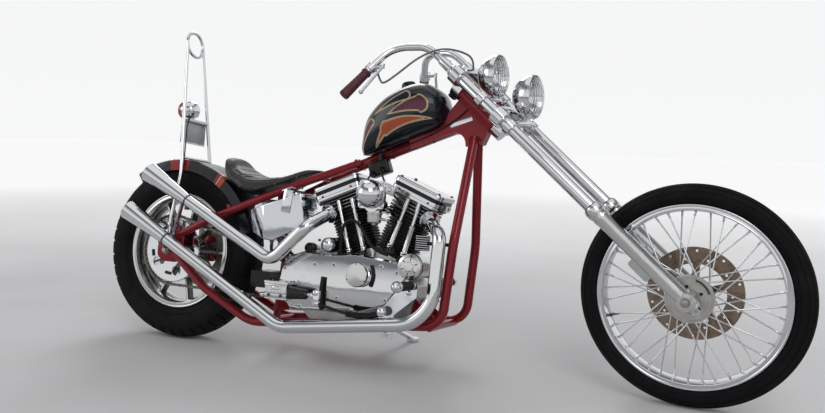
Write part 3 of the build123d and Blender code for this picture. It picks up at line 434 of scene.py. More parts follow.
def tyreProfile(radius, crown, width, lip, rimHalf, grooves, depth):
    ring = radius - crown
    shoulder = radians(50)
    edge = (ring + crown * cos(shoulder), min(crown * sin(shoulder), width / 2 - 2))
    outside = []
    for index in range(65):  # crown with its grooves
        angle = shoulder * (1 - index / 32)
        y = edge[1] * sin(angle) / sin(shoulder)
        sunk = any(abs(y - g) < tyres["grooveHalf"] for g in grooves)
        outside.append((ring + crown * cos(angle) - (depth if sunk else 0), y))
    inside = rimHalf - 5.3
    wall = []
    for index in range(1, 12):  # one curve from the shoulder to the bead
        t = index / 12
        y = (1 - t) ** 2 * edge[1] + 2 * t * (1 - t) * (width / 2 + 6) + t * t * (inside + 6)
        r = (1 - t) ** 2 * edge[0] + 2 * t * (1 - t) * ((edge[0] + lip) / 2 + 8) + t * t * (lip + 4)
        wall.append((r, min(y, width / 2)))
    wall += [(lip + 1, inside), (lip - 11.7, inside)]
    loop = [(r, -y) for r, y in reversed(wall)] + outside[::-1] + wall
    return loop + loop[:1]


axleTurn = turning(-90, "X")  # a lathe's Z onto the axle's Y
frontHub, rearHub = Matrix.Translation(frontAxle) @ axleTurn, Matrix.Translation(rearAxle) @ axleTurn


def wallRings(piece, hub, radii, thick, y):  # moulded rings on the tyre's walls
    for side in (-1, 1):
        for radius in radii:
            piece.ring(radius, thick, hub @ at(0, 0, side * y), 120, 6)


tread = Piece("frontTyreTread")
tread.lathe(tyreProfile(**tyres["front"]), frontHub, 180)
wallRings(tread, frontHub, (299.5, 324.5), 0.9, 38.5)
tread.done(tyreRubber, "tyre", "front_tyre", body="front_wheel")
tread = Piece("rearTyreTread")
tread.lathe(tyreProfile(**tyres["rear"]), Matrix(), blocks["steps"])
cuts = []
for face in tread.mesh.faces:  # cross grooves between the blocks
    middle = face.calc_center_median()
    if hypot(middle.x, middle.y) < blocks["tread"]:
        continue
    turn = atan2(middle.y, middle.x) / (2 * pi) * blocks["steps"]
    lane = 0 if abs(middle.z) < blocks["middle"] else 2
    low, high = blocks["lanes"]
    if (turn + 2 * (middle.z > 0) + lane) // 1 % blocks["every"] == 0 and low < abs(middle.z) < high:
        cuts.append(face)
made = bmesh.ops.extrude_face_region(tread.mesh, geom=cuts)
bmesh.ops.delete(tread.mesh, geom=cuts, context="FACES")
for vert in (v for v in made["geom"] if isinstance(v, bmesh.types.BMVert)):
    vert.co -= Vector((vert.co.x, vert.co.y, 0)).normalized() * blocks["depth"]
bmesh.ops.transform(tread.mesh, matrix=rearHub, verts=tread.mesh.verts)
wallRings(tread, rearHub, (248, 284), 1.1, 63.5)
tread.done(tyreRubber, "tyre", "rear_tyre", body="rear_wheel")
print("tyres made")

# Fuel tank: a ball drawn out into the tank's sections, with scallops of paint
tank = {
    "sections": [(0.734, 0.727, 0.815, 0.028), (0.772, 0.736, 0.893, 0.064), (0.850, 0.768, 0.962, 0.093),
                 (0.955, 0.808, 0.998, 0.106), (1.030, 0.840, 0.968, 0.090),
                 (1.064, 0.872, 0.920, 0.040)],  # X, low Z, high Z, half width
    "tunnel": 0.026, "round": 2.5, "seam": (0.760, 0.79, 0.85, 0.92, 0.99, 1.05),
    "backbone": ((0.722, 0.698), (1.120, 0.858)),
}
scallops = [  # wine, flame and ink; tail and head as X and Z, width, bow
    [((0.862, 0.874), (1.012, 0.917), 0.035, 0.010), ((0.744, 0.722), (0.800, 0.862), 0.019, 0.008)],
    [((1.030, 0.866), (0.835, 0.818), 0.027, -0.014), ((0.806, 0.758), (0.864, 0.838), 0.016, 0)],
    [((0.800, 0.872), (0.945, 0.948), 0.021, 0.008)],
]


def smoothStep(rows, at):  # a smooth line through rows of values by their first column
    if at <= rows[0][0]:
        return rows[0][1:]
    if at >= rows[-1][0]:
        return rows[-1][1:]
    index = next(i for i in range(len(rows) - 1) if rows[i][0] <= at <= rows[i + 1][0])
    before, after = rows[max(index - 1, 0)], rows[min(index + 2, len(rows) - 1)]
    low, high = rows[index], rows[index + 1]
    span = high[0] - low[0]
    t = (at - low[0]) / span
    result = []
    for k in range(1, len(low)):
        slopeLow = (high[k] - before[k]) / (high[0] - before[0]) * span
        slopeHigh = (after[k] - low[k]) / (after[0] - low[0]) * span
        result.append((2 * t**3 - 3 * t * t + 1) * low[k] + (t**3 - 2 * t * t + t) * slopeLow
                      + (3 * t * t - 2 * t**3) * high[k] + (t**3 - t * t) * slopeHigh)
    return result


def drawnBall(sections, power, columns=128, rows=96):
    shape = bmesh.new()
    bmesh.ops.create_uvsphere(shape, u_segments=columns, v_segments=rows, radius=1, matrix=turning(90))
    first, last = sections[0][0], sections[-1][0]
    for vert in shape.verts:
        way = vert.co.copy()
        x = (first + last) / 2 + (last - first) / 2 * way.x
        low, high, half = smoothStep(sections, x)
        angle = atan2(way.z, way.y)
        reach = (abs(cos(angle)) ** power + abs(sin(angle)) ** power) ** (-1 / power)
        reach *= sin(min(1.0, hypot(way.y, way.z) / 0.62) * pi / 2)  # the ends close over within a short way
        vert.co = Vector((x, half * reach * cos(angle), (low + high) / 2 + (high - low) / 2 * reach * sin(angle)))
    return shape


(rearX, rearZ), (frontX, frontZ) = tank["backbone"]
shape = drawnBall(tank["sections"], tank["round"])
for vert in shape.verts:  # the tunnel over the backbone
    roof = rearZ + (frontZ - rearZ) / (frontX - rearX) * (vert.co.x - rearX) + tank["tunnel"] * 1.12
    if abs(vert.co.y) < tank["tunnel"] and vert.co.z < roof:
        vert.co.z = roof


def scallop(x, z, tail, head, width, bow):  # how far inside a long drop, pointed at the tail and round at the head
    along = Vector(head) - Vector(tail)
    length = along.length
    along /= length
    spot = Vector((x, z)) - Vector(tail)
    t = spot.dot(along) / length
    side = spot.dot(Vector((-along.y, along.x))) - bow * sin(pi * max(0, min(1, t)))
    if t < 0:
        return t * length
    centre = 1 - width / length
    if t > centre:
        return width - hypot((t - centre) * length, side)
    return width * min(1.0, t) ** 0.75 - abs(side)


layer = shape.verts.layers.float_vector.new("paintFields")
for vert in shape.verts:
    vert[layer] = [max(scallop(vert.co.x, vert.co.z, *row) for row in rows) for rows in scallops]
bmesh.ops.recalc_face_normals(shape, faces=shape.faces)
tankPaint = Finish("tankPaint", (0.004, 0.006, 0.012), 0.3, bumped=(900, 2, 0.02, 0.0002),
                   Coat_Weight=0.5, Coat_Roughness=0.03, Specular_IOR_Level=0.2)
fields = tankPaint.node("ShaderNodeAttribute", attribute_name="paintFields")
parts = tankPaint.node("ShaderNodeSeparateXYZ")
tankPaint.link(fields.outputs["Vector"], parts.inputs[0])
for output, fill in ((2, (0.004, 0.007, 0.018)), (0, (0.115, 0.018, 0.045)), (1, (0.42, 0.075, 0.02))):
    for low, high, shade in ((0.0, 0.0006, (0.62, 0.48, 0.27)), (0.0028, 0.0032, (0.015, 0.012, 0.015)),
                             (0.0038, 0.0042, (0.66, 0.54, 0.34)), (0.0056, 0.0060, fill)):
        tankPaint.tint(tankPaint.spread(parts.outputs[output], low, high), shade)
Piece("tankShell").take(shape).done(tankPaint, "tank_paint", "fuel_tank", sharp=50)
piece = Piece("tankSeam")  # the welded lip along its foot
for side in (-1, 1):
    rows = [(x, *smoothStep(tank["sections"], x)) for x in tank["seam"]]
    piece.tube([(x, side * half * 0.80, low + 0.004) for x, low, high, half in rows], 2.2)
piece.done(blackGloss, "tank_paint")
piece = Piece("tankCap")
piece.lathe([(0, 18), (12, 17.5), (21, 15), (25.5, 9), (26.8, 3), (26.8, -4), (0, -4)],
            aim(mm(897, 0, 989), (-0.2, 0, 1)), 40)
piece.done(blackGloss, "tank_paint", "fuel_cap")
print("tank made")


def path(*points):
    return [mm(*point) for point in points]


def mirrored(points):
    return [Vector((x, -y, z)) for x, y, z in points]


# Exhaust pipes with their cones, port flanges and strap; the row is points, bend radii and mouth
exhaust = {
    "radius": 22.5, "mouth": 38.5, "cone": 200,
    "rear": ([(664, -60, 528), (618, -168, 466), (492, -172, 337)], [45, 55], (-68, -172, 628)),
    "front": ([(1024, -46, 524), (1110, -160, 474), (1103, -172, 184), (545, -172, 112)], [50, 130, 110],
              (-152, -172, 482)),
}
for end in ("rear", "front"):
    points, bends, mouth = exhaust[end]
    route, out, length = path(*points), exhaust["mouth"], exhaust["cone"]
    along = (route[-1] - mm(*mouth)).normalized()
    shoulder = mm(*mouth) + along * (length / 1000)
    place = aim(shoulder, -along)
    pipe, bore, bands = pieces(end + "Pipe", end + "Bore", end + "Bands")
    pipe.pipe(route + [shoulder], exhaust["radius"], bends, ends=False, sides=8)
    pipe.lathe([(22.5, 0), (22.9, 4), (out - 0.8, length - 4), (out, length - 1.5), (out - 1, length),
                (out - 3.2, length - 0.5), (27, length - 110), (20.5, length - 140)], place, 72)
    pipe.lathe([(22.5, 12), (34, 12), (35.5, 14), (35.5, 20), (34, 22), (22.5, 23)], aim(route[0], route[1] - route[0]))
    pipe.done(pipeChrome, "chrome", "exhaust_" + end)
    bore.lathe([(26.8, length - 108), (20.5, length - 139), (0, length - 142)], place)
    bore.done(soot, "black_metal")
    spot = shoulder + along * 0.010
    bands.lathe([(22.6, -3.4), (23.8, -3), (23.8, 3), (22.6, 3.4)], aim(spot, along))
    bands.box((12, 10, 18), aim(spot + mm(-4, 4, -27), along), 2)
    bands.bolt(spot + mm(-4, -2, -30), toRight, 5.5, 5)
    bands.done(darkSteel, "steel")
strap = Piece("mufflerStrap")
foot, head = path((36, -134, 394), (84, -154, 540))
strap.box((17, 3.6, (head - foot).length * 1000 + 12), aim((foot + head) / 2, head - foot), 1.2)
strap.bolt(foot + mm(2, -2, 8), (0, -1, 0.1), 7.5, 6)
strap.bolt(head + mm(-2, -1, -10), (0, -1, 0.1), 6.5, 5)
strap.done(chrome, "chrome")
print("exhaust made")

# Frame tubes with axle plates and weld beads
frameTubes = {
    "radius": 16, "stay": 14.5,
    "plate": [(-42, 318), (-42, 362), (2, 408), (44, 428), (70, 408), (70, 318), (46, 296), (-16, 296)],
}
neckFoot = onFork(0.8315)
down = [neckFoot + mm(-65, -24, -42), *path((1146, -126, 440), (1136, -128, 300))]
railWay = (down[2] - down[1]).normalized()
rail = [down[2], down[2] + railWay * 0.1253, *path((400, -130, 112), (188, -126, 214), (40, -118, 330))]
stay = path((40, -117, 396), (200, -112, 478), (480, -88, 598), (742, -21, 710))
downPiece, railPiece, stayPiece, welds, strip = pieces("downTubes", "railTubes", "stayTubes", "neckWelds", "neckStrip")
for side in (-1, 1):
    turned = mirrored if side > 0 else list
    downPiece.pipe(turned(down), frameTubes["radius"], [260], sides=6)
    railPiece.pipe(turned(rail), frameTubes["radius"], [70, 150, 150], sides=6)
    stayPiece.pipe(turned(stay), frameTubes["stay"], [260, 400], sides=6)
    plate = bmesh.new()
    corners = [plate.verts.new(mm(x, side * 118 - 4, z)) for x, z in frameTubes["plate"]]
    thickened(plate, plate.faces.new(corners), (0, 0.008, 0))
    eased(plate, edgesAlong(plate, 1, 0.004), 0.008, 4)
    eased(plate, [e for e in plate.edges if e.calc_face_angle(0) > 1.2], 0.0012)
    railPiece.take(plate)
    for x, z, radius, thick, steps in ((40, 330, 16.5, 2.2, 32), (40, 396, 15, 2.2, 32), (58, 315, 4, 1, 20),
                                       (55, 381, 4, 1, 20)):
        y = 118 if steps == 32 else 122.5
        railPiece.ring(radius, thick, aim(mm(x, side * y, z), (0, 1, 0)), steps, 6)
    welds.ring(17.2, 2.6, aim(mm(730, side * 24, 704), (0.9, side * 0.2, 0.4)), 32, 6)
    welds.ring(17, 2.4, aim(down[0] + mm(6, (side + 1) * 24, -12), (0.1, side * 0.3, -0.9)), 32, 6)
    middle = neckFoot + mm(-116, side * 24.2, 8)  # the bright trim on the neck's side
    strip.box((82, 1.6, 15), Matrix.Translation(middle) @ turning(-21), 0.6)
    for end in (-1, 1):
        strip.bolt(middle + mm(end * 34, 0, end * 13), (0, side, 0), 2.8, 2.2, 12)
for along in (0.8335, 0.9975):
    welds.ring(26.2, 2.2, aim(onFork(along), upFork), 40, 6)
downPiece.done(candyRed, "frame_paint", "frame_downtubes")
railPiece.done(candyRed, "frame_paint", "frame_rails")
stayPiece.done(candyRed, "frame_paint", "frame_stays")
welds.done(candyRed, "frame_paint")
strip.done(chrome, "chrome")
print("frame made")

# Sissy bar with tail lamp and plate
sissy = {"radius": 7, "legs": [(12, -129.3, 374), (13, -129.3, 450), (16, -93, 640), (-40, -48, 1156)],
         "bends": [90, 300], "plateBar": 850}
plate = {"wide": 152, "high": 96, "thick": 3, "border": 6}
legs = path(*sissy["legs"])
barSpot = legs[2].lerp(legs[3], (sissy["plateBar"] - 640) / (1156 - 640))
hoop = Piece("sissyHoop")
for points in (legs, mirrored(legs)):
    hoop.pipe(points, sissy["radius"], sissy["bends"])
hoop.ring(48, 6.4, aim(mm(-40, 0, 1156), (1, 0, 0.124)), 96, 14)
for spot, radius in ((barSpot, sissy["radius"]), (mm(14, -88, 697.2), 5)):
    hoop.pipe([spot, *mirrored([spot])], radius)
for side in (-1, 1):
    for z in (386, 436):  # fixings on the axle plates
        hoop.bolt(mm(12, side * 131, z), (0, side, 0), 8.5, 7)
hoop.done(chrome, "chrome", "sissy_bar")
lampSpot = Vector((barSpot.x - 0.050, 0, (sissy["plateBar"] + 43.3) / 1000))
tail = aim(lampSpot, (1, 0, 0))
body, lens = pieces("tailBody", "tailGlass")
body.lathe([(33.5, -0.5), (35.8, 0), (36, 3), (36, 12), (34.5, 16), (34, 30), (30, 42), (20, 50), (0, 52)], tail, 72)
body.ring(35.2, 1.3, tail @ at(0, 0, 14), 72, 8)
for degrees in (60, 180, 300):
    body.bolt(tail @ mm(*polar(33.5, degrees), -1), (-1, 0, 0), 2.2, 2, 12)
body.done(chrome, "chrome", "tail_lamp")
steps = [polar(1, 7.5 * index) for index in range(12)]
lens.lathe([(34.5, 0), (35, -2), (34.8, -6)]
           + [(34.5 * r + index % 2 * 0.5, -7 - 22.5 * h) for index, (r, h) in enumerate(steps)]
           + [(0, -29.5)], tail, 72)
lens.done(redGlass, "red_lens", "tail_lens")
plateSpot = Vector((barSpot.x - 0.0088, 0, (sissy["plateBar"] - 44) / 1000))
blank, border, wire = pieces("plateBlank", "plateFrame", "tailWire")
wide, high, thick, edge = plate.values()
blank.box((thick / 2, wide - edge, high - edge), Matrix.Translation(plateSpot), 0.5)
for side in (-1, 1):
    border.box((thick, wide, edge), Matrix.Translation(plateSpot) @ at(0, 0, side * (high - edge) / 2), 1)
    border.box((thick, edge, high - 10), Matrix.Translation(plateSpot) @ at(0, side * (wide - edge) / 2, 0), 1)
    for over in (-1, 1):
        border.bolt(plateSpot + mm(-1, side * 58, over * 34), (-1, 0, 0), 4.2, 3, 16)
blank.done(plateGrey, "plate", "number_plate")
border.done(polishedAlloy, "polished_alloy")
wire.tube([lampSpot + mm(48, -8, -12), barSpot + mm(10, 10, 12), legs[2] + mm(2, 8.5, 100), legs[2] + mm(2, 9, -10),
           legs[1] + mm(0, 9, 20), mm(20, -119, 424)], 2.2)  # lamp lead tied down the right leg
wire.done(rubber, "black_rubber")
print("sissy bar made")

# Rear fender: one rolled sheet with its band and pinstripes
fender = {"inner": 0.349, "outer": 0.352, "from": -15, "sweep": -110, "steps": 96}
flame, cream, red = (0.55, 0.07, 0.015), (0.62, 0.58, 0.50), (0.34, 0.015, 0.02)
fenderBands = [(0.93, 0.985, flame), (0.992, 1.006, cream), (1.013, 1.045, red), (1.46, 1.55, red),
               (1.558, 1.572, cream), (1.58, 1.72, red)]  # angles from ahead of the axle
inner, outer = fender["inner"], fender["outer"]
arch = [(inner - 0.040, 0.076), (inner - 0.006, 0.0762), (inner - 0.0015, 0.072), (inner, 0.062)]
arch += [(inner, 0.062 * 2 / 3), (inner, 0.062 / 3)]
cover = [(inner - 0.040, 0.079), (inner - 0.020, 0.079), (outer - 0.006, 0.0785), (outer - 0.0015, 0.073),
         (outer, 0.063), (outer, 0.063 * 2 / 3), (outer, 0.063 / 3)]
arch += [(inner, 0)] + [(r, -y) for r, y in reversed(arch)]
cover += [(outer, 0)] + [(r, -y) for r, y in reversed(cover)]
shape = bmesh.new()
face = shape.faces.new([shape.verts.new((r, y, 0)) for r, y in arch + cover[::-1]])
bmesh.ops.spin(shape, geom=[face], cent=(0, 0, 0), axis=(0, 1, 0), angle=radians(fender["sweep"]),
               steps=fender["steps"], use_duplicate=False)
bmesh.ops.transform(shape, verts=shape.verts, matrix=Matrix.Translation(rearAxle) @ turning(fender["from"]))
bmesh.ops.recalc_face_normals(shape, faces=shape.faces)
fenderPaint = Finish("fenderPaint", (0.005, 0.006, 0.010), 0.28, Coat_Weight=0.3, Coat_Roughness=0.04,
                     Specular_IOR_Level=0.2)
fenderPaint.turnTo(parked)
x, y, z = fenderPaint.split()
side = fenderPaint.math("ABSOLUTE", y)
angle = fenderPaint.math("ARCTAN2", fenderPaint.math("SUBTRACT", z, stance["rearRadius"]), x)


def within(value, low, high, soft):
    return fenderPaint.times(fenderPaint.spread(value, low, low + soft), fenderPaint.spread(value, high, high - soft))


for low, high, colour in fenderBands:
    fenderPaint.tint(within(angle, low, high, 0.001), colour)
for low, high in ((0.0505, 0.0518), (0.0535, 0.0542)):  # pinstripes
    fenderPaint.tint(fenderPaint.times(within(side, low, high, 0.0003), 0.85), (0.62, 0.55, 0.42))
fenderPaint.tint(fenderPaint.spread(fenderPaint.noise(30, 5), 0.5, 0.8, 0, 0.25), (0.06, 0.055, 0.05))
Piece("fenderSheet").take(shape).done(fenderPaint, "fender_paint", "rear_fender", sharp=40)
studs = Piece("fenderStuds")
for side in (-1, 1):
    for x, y, z in ((14, 58, 693), (-60, 50, 688)):
        studs.bolt(mm(x, side * y, z), (x / 352, 0, 1), 6, 4)
studs.done(chrome, "chrome")
print("fender made")

# Seat: a low scooped solo saddle with a stepped back, padded by a short cloth run
saddle = {
    "sections": [(0.176, 0.664, 0.697, 0.054), (0.204, 0.634, 0.716, 0.088), (0.246, 0.604, 0.672, 0.112),
                 (0.330, 0.566, 0.640, 0.125), (0.440, 0.600, 0.641, 0.108), (0.530, 0.643, 0.673, 0.066),
                 (0.592, 0.665, 0.684, 0.036)],  # X, low Z, high Z, half width
    "round": 2.9, "voxel": 0.0055, "pressure": 4.0, "frames": 20, "cap": 0.007, "shrink": 0.0035,
    "piping": (0.196, 0.582), "seams": (0.252, 0.300), "rivets": (0.230, 0.300, 0.370, 0.440, 0.510),
}
shape = drawnBall(saddle["sections"], saddle["round"], 96, 120)
bmesh.ops.recalc_face_normals(shape, faces=shape.faces)
for vert in shape.verts:
    vert.co -= vert.normal * saddle["shrink"]
saddleData = bpy.data.meshes.new("saddlePad")
shape.to_mesh(saddleData)
shape.free()
saddlePad = bpy.data.objects.new("saddlePad", saddleData)
scene.collection.objects.link(saddlePad)


def applied(piece):  # works the piece's modifiers into its mesh
    made = bpy.data.meshes.new_from_object(piece.evaluated_get(bpy.context.evaluated_depsgraph_get()))
    piece.modifiers.clear()
    piece.data = made


remesh = saddlePad.modifiers.new("remesh", "REMESH")
remesh.mode, remesh.voxel_size = "VOXEL", saddle["voxel"]
applied(saddlePad)
rest = [vert.co.copy() for vert in saddlePad.data.vertices]
held = saddlePad.vertex_groups.new(name="held")
held.add([vert.index for vert in saddlePad.data.vertices if vert.normal.z < -0.75], 1.0, "REPLACE")
cloth = saddlePad.modifiers.new("cloth", "CLOTH")
cloth.settings.use_pressure = True
cloth.settings.uniform_pressure_force = saddle["pressure"]
cloth.settings.vertex_group_mass = "held"
cloth.settings.effector_weights.gravity = 0
cloth.point_cache.frame_start, cloth.point_cache.frame_end = 1, saddle["frames"]
for step in range(1, saddle["frames"] + 1):
    scene.frame_set(step)
applied(saddlePad)
scene.frame_set(1)
for vert, start in zip(saddlePad.data.vertices, rest):
    moved = vert.co - start
    if moved.length > saddle["cap"]:
        vert.co = start + moved.normalized() * saddle["cap"]
smooth = saddlePad.modifiers.new("smooth", "SUBSURF")
smooth.levels = smooth.render_levels = 1
applied(saddlePad)


def onSaddle(spots, lift):  # lays a row of X and Y on the saddle's top
    row = []
    for x, y in spots:
        hit, place, normal, index = saddlePad.ray_cast(Vector((x, y, 1.0)), Vector((0, 0, -1)))
        if hit:
            row.append(place + Vector((0, 0, lift)))
    return row


bpy.context.view_layer.update()
piping, rivets = pieces("saddlePiping", "saddleRivets")
first, last = saddle["piping"]
for side in (-1, 1):  # piping round the edge of the top
    line = [first + (last - first) * index / 24 for index in range(25)]
    spots = [(x, side * smoothStep(saddle["sections"], x)[2] * 0.80) for x in line]
    piping.tube(onSaddle(spots, 0.0005), 2.1, 4)
for x in saddle["seams"]:  # sewn across the scoop
    half = smoothStep(saddle["sections"], x)[2]
    spots = [(x + 0.020 * cos(pi * index / 16), half * 0.80 * index / 8) for index in range(-8, 9)]
    piping.tube(onSaddle(spots, 0.0002), 1.3, 4)
for side in (-1, 1):
    for x in saddle["rivets"]:
        low, high, half = smoothStep(saddle["sections"], x)
        spot = Vector((x, side * (half * 0.955 - 0.003), low + (high - low) * 0.30))
        rivets.lathe([(4.2, 0), (3.6, 1.6), (2, 2.6), (0, 3)], aim(spot, (0, side, -0.15)), 16)
for polygon in saddlePad.data.polygons:
    polygon.use_smooth = True
saddlePad.data.transform(parked)
saddlePad.data.materials.append(leather.mat)
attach(saddlePad, "chassis")
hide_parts("seat")
piping.done(leatherTrim, "seat_leather")
rivets.done(darkSteel, "steel")
print("seat made")

# Fork: sliders, stanchions, wipers, axle nuts and the clamps' bolts
fork = {
    "leg": 0.095, "clamps": ((1.018, 0.0081), (0.811, 0.009)), "stemTop": 1.0352,
    "slider": [(0, -36), (12, -35.5), (20, -32), (24.5, -24), (25.5, -14), (25.5, 340), (27.2, 344), (27.2, 352),
               (26.2, 360), (29, 366), (30, 374), (30, 384), (28.5, 391), (26.5, 395), (21.2, 396), (20.8, 392)],
    "boss": [(0, -46), (27, -46), (29, -43), (29, -3), (27.5, 0.5), (21.5, 1), (20.5, 2.6), (16, 3), (9, 3)],
}
sliders, stanchions, wipers = pieces("sliderPair", "stanchionPair", "wiperPair")
nuts, clampBolts = pieces("axleNuts", "clampBolts")
for side in (-1, 1):
    out = (0, side, 0)
    leg = aim(onLeg(0, side * fork["leg"]), upFork)
    sliders.lathe(fork["slider"], leg, 56)
    wipers.lathe([(20.6, 394), (24.5, 394), (24, 397.5), (20.6, 399)], leg)
    stanchions.lathe([(0, 300), (20.5, 300), (20.5, 1040), (19.5, 1042), (0, 1042)], leg, 56)
    sliders.lathe(fork["boss"], aim(frontAxle + mm(0, side * 118.5, 0), out), 56)
    sliders.ring(9.5, 1.8, aim(onLeg(-0.0385, side * 0.106), out), 32, 8)
    sliders.bolt(onLeg(-0.030, side * 0.100) + aheadFork * 0.010, out, 5.2, 16)
    sliders.bolt(onLeg(0.018, side * fork["leg"]) + aheadFork * 0.0245, aheadFork, 5, 5)
    spot = frontAxle + mm(0, side * 122, 0)
    nuts.bolt(spot, out, 13, 9, 6, 0.4)
    nuts.lathe([(0, 9), (7.5, 9), (7.5, 11.5), (6.5, 12), (0, 12)], aim(spot, out), 24)
    nuts.lathe([(8.5, -3.5), (15, -3.5), (15, 0), (8.5, 0)], aim(spot, out), 32)
    for along, half in fork["clamps"]:
        for step in (-half, half):
            clampBolts.bolt(onLeg(along + step, side * 0.085) + aheadFork * 0.0285,
                            aheadFork + Vector((0, side * -0.25, 0)), 4.8, 5)
    clampBolts.lathe([(16.5, 0), (20.5, 0), (20.5, 4), (18, 7.5), (16.5, 8)],
                     aim(onLeg(1.0425, side * fork["leg"]), upFork), 40)
clampBolts.lathe([(0, 0), (16.5, 0), (16.5, 5), (12, 9), (0, 10.5)], aim(onFork(fork["stemTop"]), upFork), 40)
clampBolts.bolt(onFork(fork["stemTop"] + 0.0095), upFork, 9, 6)
sliders.done(polishedAlloy, "polished_alloy", "fork_sliders", body="front_fork")
stanchions.done(pipeChrome, "chrome", "fork_tubes", body="front_fork")
wipers.done(rubber, "black_rubber", body="front_fork")
nuts.done(steel, "steel", "front_axle", body="front_fork")
clampBolts.done(chrome, "chrome", body="front_fork")
print("fork made")

# Handlebar, grips, perches and the front hose
bar = {
    "points": [onLeg(1.0423, -0.095), *path((1012, -95, 1118), (885, -125, 1118), (796, -283, 948))],
    "radius": 12.7, "bends": [90, 100], "grip": 0.122,
    "hose": [*path((872, -197, 1030), (893, -214, 1000), (917, -232, 986), (955, -206, 1020), (1005, -150, 1080),
                   (1060, -100, 1112)), onFork(1.085, -0.045, 0.112), onFork(1.040, -0.012, 0.118),
             onFork(1.018, -0.008, 0.080)],
}
ribs = [(14.8 + 2.2 * (index / 23) ** 1.6 + index % 2 * 0.9, 13 + 3.8 * index) for index in range(24)]
gripProfile = [(13.1, 0), (17.2, 0.6), (18, 3), (18, 7.5), (16.2, 10.5), *ribs, (17, 104.5), (17.9, 110), (18, 117),
               (17.2, 120.8), (10, 121.6), (0, 121.8)]
barPiece, gripPiece, leverPiece, hose = pieces("barTube", "gripPair", "leverBits", "frontHose")
for line in (bar["points"], mirrored(bar["points"])):
    barPiece.pipe(line, bar["radius"], bar["bends"], sides=7)
    barPiece.lathe([(0, 0), (16.5, 0), (16.5, 52), (15.5, 55), (12.7, 55.5)], aim(line[0], upFork), 40)
    barPiece.bolt(line[0] + upFork * 0.030 + aheadFork * 0.0155, aheadFork, 4.5, 4)
    way = (line[3] - line[2]).normalized()
    end = line[3] + way * 0.003
    gripPiece.lathe(gripProfile, aim(end - way * bar["grip"], way))
    perch = end - way * (bar["grip"] + 0.019)
    leverPiece.bolt(perch + mm(20.5, 0, -8), (0.3, 0, -1), 4.2, 5)
    leverPiece.bolt(perch + mm(20.5, 0, 14), (0.2, 0, 1), 5, 4)
    knuckle = perch + mm(48, 0, 6)
    tip = knuckle + way * 0.132 + mm(14, 0, 0)
    leverPiece.lathe([(0, -6), (5.8, -5.5), (8, 0), (5.8, 5.5), (0, 8)], aim(tip, way), 24)
    leverPiece.lathe([(0, -8.5), (6.2, -8.5), (6.2, 8.5), (0, 8.5)], aim(knuckle, (0.1, 0, 1)), 24)
hose.tube(bar["hose"], 3.5, 12, 4)
barPiece.done(pipeChrome, "chrome", "handlebar", body="front_fork")
gripPiece.done(gripRubber, "grip", "grips", body="front_fork")
leverPiece.done(chrome, "chrome", body="front_fork")
hose.done(cableGrey, "black_rubber", "brake_hose", body="front_fork")
print("bars made")

# Headlamps: reflectors, bulbs, fluted glasses and bezels
lamps = {"places": ((0.935, 0.132), (0.794, 0.164)), "glass": (68.4, 66), "crown": (22, 19.5), "steps": 14}
arc = [polar(1, 90 * index / lamps["steps"]) for index in range(lamps["steps"])]
(outer, inner), (crown, inside) = lamps["glass"], lamps["crown"]
glassProfile = ([(68, -5), (68.4, 1)] + [(outer * r, crown * h) for r, h in arc[1:]] + [(0, crown), (0, inside)]
                + [(inner * r, inside * h) for r, h in reversed(arc)] + [(65.5, -5), (68, -5)])
bowlProfile = [(66.5 * sqrt(1 - index / 14) + 8 * index / 14, -6 - 48 * index / 14) for index in range(15)] + [(0, -54)]
bowls, glasses, bezels, bulbs = pieces("lampBowls", "lampGlasses", "lampBezels", "lampBulbs")
for along, ahead in lamps["places"]:
    place = aim(onFork(along, 0, ahead), (1, 0, 0))
    bowls.lathe(bowlProfile, place, 64)
    glasses.lathe(glassProfile, place, 96)
    bezels.lathe([(68.5, -10), (72.8, -10), (73, -3), (72.2, 2.5), (70.5, 4.2), (68.8, 3), (68.5, -10)], place, 96)
    bezels.bolt(onFork(along, 0, ahead) + mm(-2, 0, -72.5), (0, 0, -1), 3.2, 3, 12)
    bulbs.lathe([(0, -20), (6, -21.5), (8.5, -27), (8.5, -34), (6, -41), (6, -53)], place, 32)
bowls.done(reflector, "chrome", body="front_fork")
glasses.done(glass, "lens_glass", "headlamp_lenses", body="front_fork")
bezels.done(chrome, "chrome", body="front_fork")
bulbs.done(bulbGlass, "lens_glass", body="front_fork")
print("lamps made")

# Engine: rocker boxes in layers, bolts, pushrod tubes and their feet
engine = {
    "crank": (831, 0, 244), "banks": {"Rear": -22.5, "Front": 22.5},
    "box": [(184, 166, 18, 372, 393.5, 1.2), (184, 166, 18, 407.5, 426, 9)],  # wide, deep, corner, low, high, ease
    "band": [(178, 160, 16, 393, 408, 0), (184.5, 166.5, 18, 380, 381.2, 0)],
    "fins": [(165, 125, 24.3, low, low + 1.4, 0) for low in (324.6, 336.6, 348.6, 360.6)]
            + [(169, 151, 16.3, 369, 370.6, 0)],
    "pushrods": [(702, 556, 761, 393), (754, 566, 815, 403), (961, 577, 914, 423), (1004, 567, 965, 397)],
    "pushrod": [(8.6, 0.52), (9.8, 0.53), (9.8, 0.565), (6.8, 0.58), (6.4, 0.60), (6.4, 0.86), (8.2, 0.865)],
    "foot": [(0, -24), (15, -24), (15, -16), (12.5, -12), (12.5, 0), (13.5, 1), (13.5, 4), (0, 4)],
}


